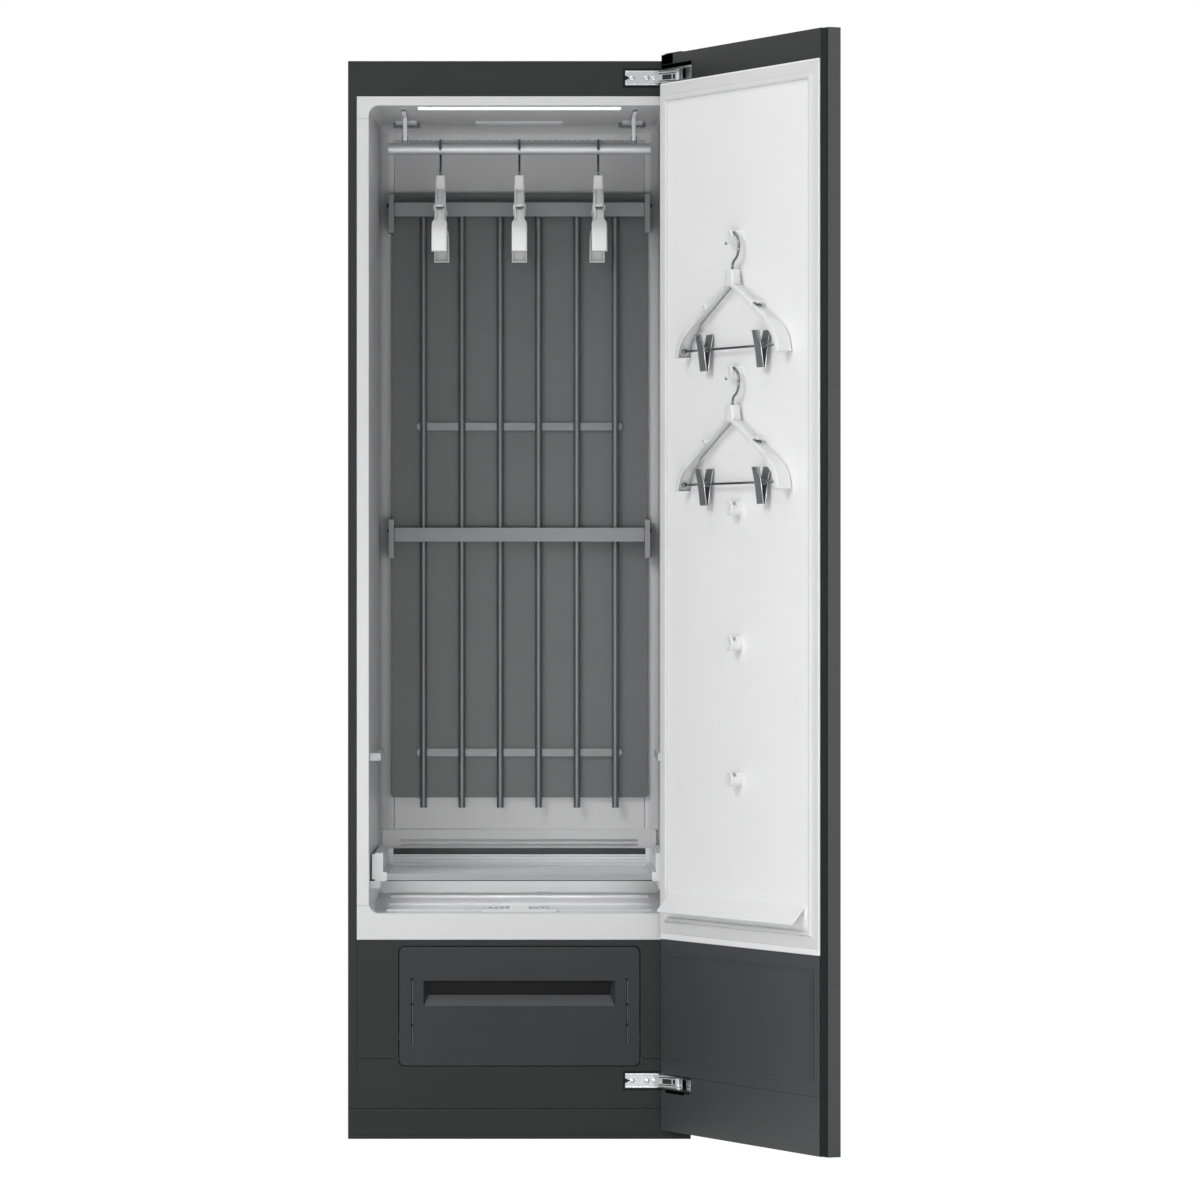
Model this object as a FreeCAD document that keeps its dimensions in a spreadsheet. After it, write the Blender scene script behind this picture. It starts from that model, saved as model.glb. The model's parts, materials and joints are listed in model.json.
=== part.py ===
import FreeCAD, Part
import Sketcher
import math
import os
import re

from FreeCAD import Placement, Rotation, Vector

# Clothes care steam cabinet with its door standing open.
# Frame: +X to the right seen from the front, +Y to the back, +Z up, millimetres.
# The origin is the centre of the cabinet's footprint on the floor.

# ------------------------------------------------------------------ driving sizes

SIZES = {
    # outer casing
    "cabinet_width": 595, "cabinet_depth": 555, "cabinet_height": 1871,
    "skin": 1.2, "stile": 15, "back_sheet": 1,
    "fascia_height": 61, "fascia_depth": 25, "fascia_sheet": 2,
    "base_lip": 7, "base_sheet": 1.5, "seam": 0.6,
    "kick_height": 46, "lower_fascia_height": 86.3, "corner_drop": 20.6,
    # heated cavity
    "frame_bottom": 345.6, "opening_width": 523.2, "opening_bottom": 391.5,
    "head_drop": 77, "opening_radius": 18, "rear_space": 60,
    "wall_draft": 9.6, "floor_rise": 12.5, "liner_wall": 2.5,
    "ceiling_seam_drop": 39, "basin_seam_rise": 59.4,
    # ceiling light and slot
    "light_length": 354, "light_width": 40, "light_start": 45, "light_proud": 1.5,
    "slot_length": 160, "slot_width": 8, "slot_set_back": 88,
    # hanger rod
    "rod_radius": 10, "rod_length": 465, "rod_set_back": 2.5, "rod_drop": 58,
    "strip_length": 392, "strip_width": 3, "strip_height": 6, "strip_seat": 0.8,
    "notch_radius": 7, "notch_depth": 1.5,
    "post_offset": 203, "post_radius": 4, "collar_radius": 5.5, "collar_height": 13,
    "foot_plate": 3, "foot_plate_start": 100, "foot_cross": 48, "foot_cross_depth": 30,
    "foot_cross_thick": 8,
    # trouser press on the rear wall
    "board_width": 463.2, "board_drop": 121.3, "board_bottom": 578, "board_thick": 12,
    "board_radius": 5, "bar_height": 25, "bar_thick": 14, "bar_radius": 3,
    "bar_stand_off": 23, "bar_pivot_drop": 5.6, "bar_top_drop": 19.4,
    "middle_bar_drop": 606.7, "bracket_width": 9.3, "bracket_grip": 5.1,
    "bracket_height": 70, "bracket_rise": 15, "bracket_front": 43, "pin_radius": 2.5,
    "press_rod_radius": 6, "press_rod_pitch": 69.4, "press_rod_bottom": 560,
    "press_rod_gap": 13, "cross_bar_height": 14.4, "cross_bar_thick": 3.5,
    "cross_bar_length": 373, "cross_bar_drop": 423.2, "cross_bar_rise": 81.5,
    # rear air grille and shelf
    "grille_width": 496, "grille_height": 104, "grille_thick": 8, "grille_lift": 11.5,
    "shelf_front_in": 60, "shelf_rear_in": 67, "shelf_width": 504.6, "shelf_bottom": 445,
    "shelf_side_height": 49, "shelf_side": 14.3, "shelf_foot": 21, "shelf_foot_height": 9,
    "shelf_ledge": 15.7,
    "shelf_deck": 3, "shelf_back": 8, "shelf_rail": 12, "shelf_slot": 14, "shelf_slot_pitch": 46,
    "shelf_cap_length": 26, "shelf_cap_proud": 5,
    "ledge_reach": 17, "ledge_height": 13, "ledge_short": 18, "upper_ledge": 655,
    # drain filter in the floor
    "filter_width": 120, "filter_length": 90, "filter_start": 28, "filter_height": 9,
    "tab_width": 31, "tab_height": 6.5, "tab_thick": 8,
    # door
    "door_gap": 10, "door_trim": 12.8, "door_skin": 23.7, "door_bottom": 16,
    "door_rise": 9.5, "door_sheet": 1.2, "trim_inset": 1.5, "trim_wall": 40,
    "liner_bottom": 349, "liner_drop": 42, "door_liner_thick": 3, "liner_inset": 3,
    "seal_width": 10, "seal_margin": 3, "seal_clear": 0.5, "field_inset": 4,
    "cover_bottom": 115.5, "cover_thick": 2, "emboss_width": 524, "emboss_height": 173,
    "emboss_bottom": 145, "emboss_rise": 0.8,
    "hinge_inset": 21.5, "hinge_setback": 23.5, "door_swing": 115,
    # hinge hardware
    "hinge_drop": 29.5, "lower_hinge": 101.3, "arm_height": 25.4, "arm_start": 183.5,
    "arm_end": 245, "arm_thick": 5, "arm_proud": 2, "link_height": 18,
    "knuckle_radius": 7, "cup_wall": 2.5, "cup_end": 172,
    "hinge_pin_radius": 2.95, "pin_clear": 0.05, "notch_room": 2, "recess_room": 4,
    # pegs and deflector on the door
    "peg_offset": -12.5, "peg_drop": 317, "peg_pitch": 228.6, "peg_disc_radius": 12.5,
    "peg_base": 3, "peg_neck_radius": 6, "peg_neck_length": 16.5, "field_rise": 1.5, "peg_tip": 4,
    "deflector_width": 504, "deflector_top": 429, "deflector_drop": 31,
    "deflector_reach": 26, "deflector_thick": 2,
    # water tank drawer
    "drawer_width": 417, "drawer_height": 206.2, "drawer_bottom": 127.4, "drawer_radius": 10,
    "drawer_front_thick": 22, "drawer_proud": 2, "drawer_gap": 1.5,
    "grip_width": 333, "grip_height": 44.6, "grip_bottom": 230, "grip_deep": 16, "grip_lip": 19.4,
    "grip_end": 9,
    "slit_offset": 186.5, "slit_width": 1.2, "slit_bottom": 163, "slit_height": 114,
    "dot_radius": 1.75, "dot_high": 277,
    "dot_middle": 234, "dot_low": 198, "bay_wall": 2.5, "bay_rear_in": 205.5,
    "rail_height": 10, "rail_bottom": 170, "rail_width": 5.5, "tray_wall": 2.5,
    "tray_height": 169, "tray_rear_in": 14, "tank_wall": 2, "tank_height": 156, "tank_room": 1.2,
    "neck_radius": 15, "neck_height": 12, "running_gap": 0.3,
    # hangers
    "hanger_half": 193, "hanger_drop": 211, "hanger_slope": 27.4, "tip_slope": 84,
    "shoulder_radius": 60, "hanger_band": 12, "hanger_wall": 2.5, "hanger_thick": 28, "neck_top": 61,
    "neck_half": 19, "neck_thick": 18, "wire_radius": 1.75, "hook_radius": 24,
    "hook_return": 13.4, "hanger_pitch": 140, "clip_bar_drop": 193, "clip_offset": 106, "clip_barrel": 4.5,
    "clip_width": 24, "clip_top": 26, "clip_bottom": 36, "clip_spread": 10, "jaw_thick": 2,
    "jaw_gap": 0.6, "ear_radius": 5, "ear_thick": 1.2, "hanger_stand_off": 19,
    # fan and duct
    "fan_radius": 95, "fan_width": 70, "fan_wall": 2, "fan_offset": -120, "fan_height": 215,
    "outlet_width": 60, "outlet_rise": 20, "outlet_edge": 6, "outlet_open": 44,
    "inlet_radius": 9, "inlet_circle": 54, "fan_foot_width": 80, "fan_foot_inset": 10,
    "impeller_radius": 72, "impeller_width": 50, "impeller_inset": 10, "impeller_rim": 12,
    "impeller_sheet": 2, "hub_radius": 12, "hub_length": 20, "blade_length": 10,
    "blade_thick": 1.2, "shaft_radius": 4, "shaft_free": 8, "motor_radius": 38,
    "motor_length": 40, "duct_width": 100, "duct_thick": 46, "duct_wall": 1.5,
    "duct_shift": 50, "duct_drop": 60, "plenum_inset": 30, "plenum_rise": 8,
    # compressor
    "compressor_offset": 150, "compressor_back": 97.5, "compressor_radius": 58,
    "compressor_height": 180, "compressor_lift": 20, "plate_half": 56, "plate_thick": 6,
    "foot_radius": 9, "foot_offset": 44, "suction_radius": 5, "suction_offset": -20,
    "suction_rise": 105, "delivery_radius": 4, "delivery_offset": 15, "delivery_rise": 135,
    # heat exchangers
    "coil_left": -235, "coil_width": 230, "coil_top": 370, "coil_front_back": 199.5,
    "coil_pitch": 43, "coil_thick": 42, "coil_rim": 10, "coil_floor": 105, "fin_thick": 1,
    "fin_inset": 2, "coil_tube_radius": 4, "coil_tube_low": 130, "coil_tube_pitch": 42,
    # boiler and pumps
    "boiler_offset": 43.5, "boiler_back": 57.5, "boiler_radius": 44, "boiler_low": 120,
    "boiler_length": 180, "boiler_leg": 20, "steam_radius": 6, "steam_tip_radius": 12,
    "steam_tip_rise": 4, "pump_offset": 245, "pump_back": 157.5, "pump_pitch": 64,
    "pump_radius": 24, "pump_height": 70, "port_radius": 5, "port_rise": 18,
    "port_reach": 27, "port_height": 40,
    # control board
    "case_front_in": 200, "case_width": 220, "case_depth": 140, "case_height": 28,
    "case_wall": 2, "circuit_lift": 8, "circuit_thick": 1.6,
}

# Places that several pieces share, worked out from the driving sizes.
PLACES = {
    "side": "cabinet_width / 2",
    "front": "-cabinet_depth / 2",
    "back": "cabinet_depth / 2",
    "frame_side": "side - stile",
    "fascia_bottom": "cabinet_height - fascia_height",
    "kick_top": "base_lip + kick_height",
    "lower_seam": "kick_top + lower_fascia_height",
    "corner_seam": "lower_seam - corner_drop",
    "opening_side": "opening_width / 2",
    "opening_top": "cabinet_height - head_drop",
    "rear_wall": "back - rear_space",
    "rear_side": "opening_side - wall_draft",
    "rear_floor": "opening_bottom + floor_rise",
    "ceiling_seam": "fascia_bottom - ceiling_seam_drop",
    "basin_seam": "frame_bottom + basin_seam_rise",
    "rod_height": "opening_top - rod_drop",
    "rod_line": "(front + rear_wall) / 2 + rod_set_back",
    "slot_line": "rear_wall - slot_set_back",
    "strip_floor": "rod_height + rod_radius - strip_seat",
    "strip_top": "strip_floor + strip_height",
    "board_front": "rear_wall - board_thick",
    "board_side": "board_width / 2",
    "board_top": "opening_top - board_drop",
    "upper_bar_top": "board_top - bar_top_drop",
    "middle_bar_top": "board_top - middle_bar_drop",
    "upper_cross_bar": "board_top - cross_bar_drop",
    "lower_cross_bar": "board_bottom + cross_bar_rise",
    "bar_back": "board_front - bar_stand_off",
    "bar_line": "bar_back - bar_thick / 2",
    "press_rod_line": "board_front - press_rod_gap",
    "shelf_side_x": "shelf_width / 2",
    "shelf_front": "front + shelf_front_in",
    "shelf_rear": "rear_wall - shelf_rear_in",
    "shelf_top": "shelf_bottom + shelf_side_height",
    "shelf_floor": "shelf_bottom + shelf_foot_height",
    "upper_hinge": "cabinet_height - hinge_drop",
    "door_inner": "front - door_gap",
    "door_mid": "door_inner - door_trim",
    "door_outer": "door_mid - door_skin",
    "door_top": "cabinet_height + door_rise",
    "liner_top": "cabinet_height - liner_drop",
    "liner_face": "door_inner + door_liner_thick",
    "trim_side": "side - trim_inset",
    "liner_side": "side - liner_inset",
    "hinge_x": "side - hinge_inset",
    "hinge_y": "door_inner - hinge_setback",
    "seal_inner": "opening_side + seal_margin",
    "seal_outer": "seal_inner + seal_width",
    "peg_top": "cabinet_height - peg_drop",
    "peg_line": "liner_face + hanger_stand_off - door_liner_thick",
    "drawer_side": "drawer_width / 2",
    "drawer_top": "drawer_bottom + drawer_height",
    "hole_side": "drawer_side + drawer_gap",
    "bay_side": "hole_side",
    "bay_bottom": "drawer_bottom - drawer_gap",
    "bay_top": "drawer_top + drawer_gap",
    "bay_front": "front + fascia_sheet",
    "bay_rear": "liner_back - bay_rear_in",
    "tray_front": "front - drawer_proud + drawer_front_thick",
    "tray_rear": "bay_rear - tray_rear_in",
    "tray_side": "bay_side - rail_width - 2 * running_gap",
    "tray_bottom": "bay_bottom + 6",
    "liner_back": "rear_wall + liner_wall",
    "fan_front": "liner_back - fan_width",
    "outlet_top": "fan_height + fan_radius + outlet_rise",
    "outlet_left": "fan_offset - fan_radius",
    "wheel_front": "fan_front + impeller_inset",
    "wheel_back": "wheel_front + impeller_width",
    "grille_top": "rear_floor + grille_lift + grille_height",
    "duct_x": "fan_offset - duct_shift",
    "boiler_y": "liner_back - boiler_back",
    "compressor_y": "liner_back - compressor_back",
    "notch_pitch": "hanger_pitch / 12",
    "notch_seat": "strip_top - notch_depth",
    "door_field": "liner_face + field_rise",
    "arc_x": "(hanger_half - shoulder_radius * sin(tip_slope))",
}

NAME = re.compile(r"[a-z][a-z_]*[a-z]")

doc = FreeCAD.newDocument("SteamCabinet")
sheet = doc.addObject("Spreadsheet::Sheet", "Sizes")
for row, (size_name, size_value) in enumerate(SIZES.items(), 1):
    sheet.set(f"A{row}", size_name)
    sheet.set(f"B{row}", str(size_value))
    sheet.setAlias(f"B{row}", size_name)
doc.recompute()


def formula(text):
    """An expression with each shared place written out and each size read from the sheet."""
    def written(found):
        word = found.group()
        if word in PLACES:
            return f"({formula(PLACES[word])})"
        return f"Sizes.{word}" if word in SIZES else word
    return NAME.sub(written, str(text))


def add(kind, name):
    return doc.addObject(kind, name)


def bind(thing, path, text):
    thing.setExpression(path, formula(text))


probe = add("Part::Vertex", "Probe")


def value(text):
    """The number that a formula has with the sizes as they are."""
    bind(probe, "X", text)
    probe.recompute()
    return probe.X.Value


# ------------------------------------------------------------------ building helpers

TURNS = {
    "x": Rotation(Vector(1, 1, 1), 120),
    "y": Rotation(Vector(1, 0, 0), 90),
    "z": Rotation(),
}
BACKWARD = Rotation(Vector(1, 0, 0), -90)


def seat(thing, x, y, z, turn=None):
    """Put a thing at a bound place, turned first if a turn is given."""
    thing.Placement = Placement(Vector(), turn or Rotation())
    bind(thing, "Placement.Base.x", x)
    bind(thing, "Placement.Base.y", y)
    bind(thing, "Placement.Base.z", z)
    return thing


def block(name, x, y, z):
    """A box given by a low and a high formula along each axis."""
    box = add("Part::Box", name)
    for side, (low, high) in zip(("Length", "Width", "Height"), (x, y, z)):
        bind(box, side, f"({high}) - ({low})")
    return seat(box, x[0], y[0], z[0])


def wide(name, half, y, z):
    """A box that lies evenly about the middle plane."""
    return block(name, (f"-({half})", half), y, z)


def rod(name, axis, radius, low, high, first, second):
    """A cylinder along an axis; first and second place it on the other two, in order."""
    made = add("Part::Cylinder", name)
    bind(made, "Radius", radius)
    bind(made, "Height", f"({high}) - ({low})")
    if axis == "x":
        return seat(made, low, first, second, TURNS["x"])
    if axis == "y":
        return seat(made, first, low, second, BACKWARD)
    return seat(made, first, second, low)


def fuse(name, *pieces, refine=True):
    made = add("Part::MultiFuse", name)
    made.Shapes = list(pieces)
    made.Refine = refine
    return made


def group(name, *pieces):
    made = add("Part::Compound", name)
    made.Links = list(pieces)
    return made


def cut(name, base, *tools):
    made = add("Part::Cut", name)
    made.Base = base
    made.Tool = tools[0] if len(tools) == 1 else fuse(f"{name}_tools", *tools, refine=False)
    made.Refine = True
    return made


def common(name, *pieces):
    made = add("Part::MultiCommon", name)
    made.Shapes = list(pieces)
    made.Refine = True
    return made


PLANES = {"x": "YZ_Plane", "y": "XZ_Plane", "z": "XY_Plane"}


def lay(body, sketch, plane, offset):
    """Attach a sketch to its body's plane across an axis: its normal is +X, -Y or +Z."""
    origin = {feature.Role: feature for feature in body.Origin.OriginFeatures}
    sketch.AttachmentSupport = (origin[PLANES[plane]], [""])
    sketch.MapMode = "FlatFace"
    bind(sketch, "AttachmentOffset.Base.z", f"-({offset})" if plane == "y" else offset)


def rounded(sketch, left, right, low, high, radius):
    """Draw a rounded rectangle whose four sides and radius are bound."""
    a, b, c, d, r = (value(text) for text in (left, right, low, high, radius))
    corners = ((b - r, d - r, 0), (a + r, d - r, 90), (a + r, c + r, 180), (b - r, c + r, 270))
    arcs = []
    for u, v, start in corners:
        circle = Part.Circle(Vector(u, v, 0), Vector(0, 0, 1), r)
        ends = (math.radians(start), math.radians(start + 90))
        arcs.append(sketch.addGeometry(Part.ArcOfCircle(circle, *ends)))
    ends = (
        ((b - r, d), (a + r, d)), ((a, d - r), (a, c + r)),
        ((a + r, c), (b - r, c)), ((b, c + r), (b, d - r)),
    )
    lines = []
    for (u, v), (p, q) in ends:
        line = Part.LineSegment(Vector(u, v, 0), Vector(p, q, 0))
        lines.append(sketch.addGeometry(line))
    tie = Sketcher.Constraint
    for i in range(4):
        sketch.addConstraint(tie("Tangent", arcs[i], 2, lines[i], 1))
        sketch.addConstraint(tie("Tangent", lines[i], 2, arcs[(i + 1) % 4], 1))
        sketch.addConstraint(tie("Vertical" if i % 2 else "Horizontal", lines[i]))
        if i:
            sketch.addConstraint(tie("Equal", arcs[0], arcs[i]))
    named = (
        ("radius", tie("Radius", arcs[0], r), radius),
        ("left", tie("DistanceX", -1, 1, lines[1], 1, a), left),
        ("right", tie("DistanceX", -1, 1, lines[3], 1, b), right),
        ("low", tie("DistanceY", -1, 1, lines[2], 1, c), low),
        ("high", tie("DistanceY", -1, 1, lines[0], 1, d), high),
    )
    pin(sketch, named)


def traced(sketch, points):
    """Draw a closed outline whose every corner is bound."""
    spots = [(value(u), value(v)) for u, v in points]
    tie = Sketcher.Constraint
    count = len(points)
    for i in range(count):
        ends = (Vector(*spots[i], 0), Vector(*spots[(i + 1) % count], 0))
        sketch.addGeometry(Part.LineSegment(*ends))
    for i in range(count):
        sketch.addConstraint(tie("Coincident", i, 2, (i + 1) % count, 1))
    named = []
    for i, (u, v) in enumerate(points):
        named.append((f"u{i}", tie("DistanceX", -1, 1, i, 1, spots[i][0]), u))
        named.append((f"v{i}", tie("DistanceY", -1, 1, i, 1, spots[i][1]), v))
    pin(sketch, named)


def pin(sketch, named):
    """Add named distances and bind each one to its formula."""
    for word, constraint, text in named:
        index = sketch.addConstraint(constraint)
        sketch.renameConstraint(index, word)
        bind(sketch, f"Constraints.{word}", text)


def pad(name, plane, low, high, draw, *shape):
    """A body padded from one sketch between two levels along an axis."""
    body = add("PartDesign::Body", name)
    sketch = body.newObject("Sketcher::SketchObject", f"{name}_sketch")
    lay(body, sketch, plane, high if plane == "y" else low)
    draw(sketch, *shape)
    made = body.newObject("PartDesign::Pad", f"{name}_pad")
    made.Profile = sketch
    bind(made, "Length", f"({high}) - ({low})")
    made.Refine = True
    sketch.Visibility = False
    return body


def soft(name, x, y, z, radius):
    """A box with rounded corners as seen from the front."""
    return pad(name, "y", y[0], y[1], rounded, x[0], x[1], z[0], z[1], radius)


def slab(name, plane, low, high, points):
    """A flat piece of any outline."""
    return pad(name, plane, low, high, traced, points)


def draft(name, side, low, high, rear_side, rear_low, y, radius):
    """A tub shape that narrows to the rear, its corners rounded at the front."""
    made = add("Part::Wedge", f"{name}_wedge")
    sizes = {
        "Xmin": f"-({side})", "Xmax": side, "Zmin": low, "Zmax": high,
        "X2min": f"-({rear_side})", "X2max": rear_side, "Z2min": rear_low, "Z2max": high,
        "Ymin": y[0], "Ymax": y[1],
    }
    for word, text in sizes.items():
        bind(made, word, text)
    core = soft(f"{name}_core", (f"-({side})", side), y, (low, high), radius)
    return common(name, made, core)


NODES = []


def node(name, thing):
    """Name a finished piece for export."""
    thing.Label = name
    NODES.append(thing)
    return thing


def door_node(name, thing):
    """Name a finished piece of the door and swing it open about the hinge line."""
    turn = "door_swing"
    thing.Placement = Placement(Vector(), Rotation(Vector(0, 0, 1), SIZES["door_swing"]))
    bind(thing, "Placement.Base.x", f"hinge_x - hinge_x * cos({turn}) + hinge_y * sin({turn})")
    bind(thing, "Placement.Base.y", f"hinge_y - hinge_x * sin({turn}) - hinge_y * cos({turn})")
    bind(thing, "Placement.Rotation.Angle", turn)
    return node(name, thing)


# ------------------------------------------------------------------ outer casing

pan = wide("pan_outer", "side", ("front", "back"), ("0", "base_lip"))
pan_room = wide(
    "pan_room", "side - 2 * base_sheet", ("front + 2 * base_sheet", "back - 2 * base_sheet"),
    ("base_sheet", "base_lip + 1"))
node("base_pan", cut("pan", pan, pan_room))

wrap = wide("wrap_outer", "side", ("front", "back"), ("base_lip", "cabinet_height"))
wrap_room = wide(
    "wrap_room", "side - skin", ("front + skin", "back + 1"),
    ("base_lip - 1", "cabinet_height - skin"))
wrap_mouth = wide(
    "wrap_mouth", "frame_side", ("front - 1", "front + 2 * skin"),
    ("corner_seam", "fascia_bottom"))
wrap_low = wide(
    "wrap_low", "side + 1", ("front - 1", "front + fascia_sheet"),
    ("base_lip - 1", "corner_seam"))
wrap_high = wide(
    "wrap_high", "side + 1", ("front - 1", "front + fascia_depth"),
    ("fascia_bottom", "cabinet_height + 1"))
node("outer_wrapper", cut("wrap", wrap, wrap_room, wrap_mouth, wrap_low, wrap_high))

node("back_panel", wide(
    "back_sheet_plate", "side - skin", ("back - back_sheet", "back"),
    ("base_lip", "cabinet_height - skin")))


def hinge_band(name, level, reach, room="0"):
    """The box around a hinge arm where it lies on the front of the cabinet."""
    half = f"(arm_height / 2 + {room})"
    return block(
        name, (f"arm_start - {room}", reach), ("front - 1", "front + arm_thick - arm_proud"),
        (f"{level} - {half}", f"{level} + {half}"))


def hinge_backing(name, level):
    """The block behind the sheet that the arm is screwed to."""
    half = "(arm_height / 2 + recess_room)"
    return block(
        name, ("arm_start - recess_room", "side - skin - 1"), ("front", "front + 8"),
        (f"{level} - {half}", f"{level} + {half}"))


head = wide("head_outer", "side", ("front", "front + fascia_depth"), (
    "fascia_bottom", "cabinet_height"))
head_room = wide(
    "head_room", "side - fascia_sheet", ("front + fascia_sheet", "front + fascia_depth + 1"),
    ("fascia_bottom + fascia_sheet", "cabinet_height - fascia_sheet"))
head_shell = cut("head_shell", head, head_room)
head_full = fuse("head_full", head_shell, hinge_backing("head_backing", "upper_hinge"))
node("top_fascia", cut(
    "head_cut", head_full, hinge_band("head_recess", "upper_hinge", "side - 30", "notch_room")))

drawer_hole = soft(
    "drawer_hole", ("-(hole_side)", "hole_side"), ("front - 1", "front + fascia_sheet + 1"),
    ("drawer_bottom - drawer_gap", "drawer_top + drawer_gap"), "drawer_radius + drawer_gap")
panel_side = "frame_side - seam / 2"
upper_plate = wide(
    "upper_plate", panel_side, ("front", "front + fascia_sheet"),
    ("lower_seam + seam / 2", "frame_bottom - seam / 2"))
node("upper_fascia", cut("upper_face", upper_plate, drawer_hole))

lower_plate = wide(
    "lower_plate", panel_side, ("front", "front + fascia_sheet"),
    ("kick_top + seam / 2", "lower_seam - seam / 2"))
lower_ears = wide(
    "lower_ears", "side", ("front", "front + fascia_sheet"),
    ("kick_top + seam / 2", "corner_seam - seam / 2"))
lower_full = fuse(
    "lower_full", lower_plate, lower_ears, hinge_backing("lower_backing", "lower_hinge"))
node("lower_fascia", cut(
    "lower_face", lower_full, drawer_hole,
    hinge_band("lower_recess", "lower_hinge", "side - 30", "notch_room")))

node("kick_plate", wide(
    "kick_face", "side", ("front", "front + fascia_sheet"),
    ("base_lip + seam / 2", "kick_top - seam / 2")))

# ------------------------------------------------------------------ heated cavity

levels = ("opening_bottom", "opening_top")
cavity = draft(
    "cavity", "opening_side", "opening_bottom", "opening_top", "rear_side", "rear_floor",
    ("front", "rear_wall"), "opening_radius")
tub_outer = draft(
    "tub_outer", "opening_side + liner_wall", "opening_bottom - liner_wall",
    "opening_top + liner_wall", "rear_side + liner_wall", "rear_floor - liner_wall",
    ("front", "liner_back"), "opening_radius + liner_wall")
flange = wide(
    "liner_flange", panel_side, ("front", "front + liner_wall"),
    ("frame_bottom + seam / 2", "fascia_bottom - seam / 2"))
mouth = soft(
    "liner_mouth", ("-(opening_side)", "opening_side"), ("front - 1", "front + liner_wall"),
    levels, "opening_radius")
light_hole = wide(
    "light_hole", "light_length / 2", ("front + light_start", "front + light_start + light_width"),
    ("opening_top - 1", "opening_top + 20"))
slot_hole = wide(
    "ceiling_slot", "slot_length / 2",
    ("slot_line", "slot_line + slot_width"),
    ("opening_top - 1", "opening_top + 20"))
filter_hole = wide(
    "filter_hole", "filter_width / 2",
    ("front + filter_start", "front + filter_start + filter_length"),
    ("frame_bottom", "rear_floor"))
air_hole = wide(
    "air_hole", "grille_width / 2 - 40", ("rear_wall - 5", "liner_back + 1"),
    ("rear_floor + grille_lift + 15", f"(grille_top) - 15"))
nozzle_hole = rod(
    "nozzle_hole", "z", "steam_radius + 0.5", "frame_bottom", "rear_floor + 5", "boiler_offset", "boiler_y")
tub_solid = fuse("tub_solid", tub_outer, flange)
tub = cut(
    "tub", tub_solid, cavity, mouth, light_hole, slot_hole, filter_hole, air_hole, nozzle_hole)


def section(name, low, high):
    """One moulding of the liner, taken between two levels."""
    return common(f"{name}_section", tub, wide(
        f"{name}_reach", "side", ("front - 5", "back"), (low, high)))


node("ceiling_liner", section("ceiling", "ceiling_seam", "fascia_bottom"))
node("wall_liner", section("wall", "basin_seam", "ceiling_seam"))
node("floor_basin", section("basin", "frame_bottom", "basin_seam"))

light_y = ("front + light_start + running_gap", "front + light_start + light_width - running_gap")
lens = wide("lens", "light_length / 2 - running_gap", light_y, (
    "opening_top - light_proud", "opening_top + liner_wall + 8"))
lens_room = wide("lens_room", "light_length / 2 - 3", (
    "front + light_start + 3", "front + light_start + light_width - 3"), (
    "opening_top - light_proud + 2", "opening_top + liner_wall + 9"))
lens_rim = wide("lens_rim", "light_length / 2 + 5", (
    "front + light_start - 5", "front + light_start + light_width + 5"), (
    "opening_top + liner_wall", "opening_top + liner_wall + 2"))
led_strip = wide("led_strip", "light_length / 2 - 3", (
    "front + light_start + 12", "front + light_start + light_width - 12"), (
    "opening_top + liner_wall + 4", "opening_top + liner_wall + 6"))
lens_cup = cut("lens_cup", fuse("lens_full", lens, lens_rim), lens_room)
node("ceiling_light", group("light", lens_cup, led_strip))

rail = rod("rail", "x", "rod_radius", "-rod_length / 2", "rod_length / 2", "rod_line", "rod_height")
node("hanger_rod", rail)
strip = wide("strip", "strip_length / 2", (
    "rod_line - strip_width / 2", "rod_line + strip_width / 2"), ("strip_floor", "strip_top"))
notches = []
for i in range(-16, 17):
    notches.append(rod(
        f"notch_{i + 17}", "y", "notch_radius", "rod_line - strip_width",
        "rod_line + strip_width", f"{i} * notch_pitch",
        "strip_top + notch_radius - notch_depth"))
node("notch_strip", cut("strip_cut", strip, rail, *notches))

posts = []
for sign, hand in ((-1, "left"), (1, "right")):
    middle = f"{sign} * post_offset"
    post = rod(f"post_{hand}", "z", "post_radius", "rod_height", "opening_top - 1", middle, "rod_line")
    collar = rod(
        f"collar_{hand}", "z", "collar_radius", "rod_height + 2",
        "rod_height + rod_radius + collar_height", middle, "rod_line")
    stem = block(
        f"stem_{hand}", (f"{middle} - post_radius", f"{middle} + post_radius"),
        ("front + foot_plate_start", "slot_line"), ("opening_top - foot_plate", "opening_top"))
    cross = block(
        f"cross_{hand}", (f"{middle} - foot_cross / 2", f"{middle} + foot_cross / 2"),
        ("slot_line - 1", "slot_line - 1 + foot_cross_depth"),
        ("opening_top - foot_cross_thick", "opening_top"))
    posts.append(cut(f"bracket_{hand}", fuse(f"posts_{hand}", post, collar, stem, cross), rail))
node("rod_brackets", group("rod_hangers", *posts))

node("press_board", soft(
    "board", ("-(board_side)", "board_side"), ("board_front", "rear_wall"),
    ("board_bottom", "board_top"), "board_radius"))

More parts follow.
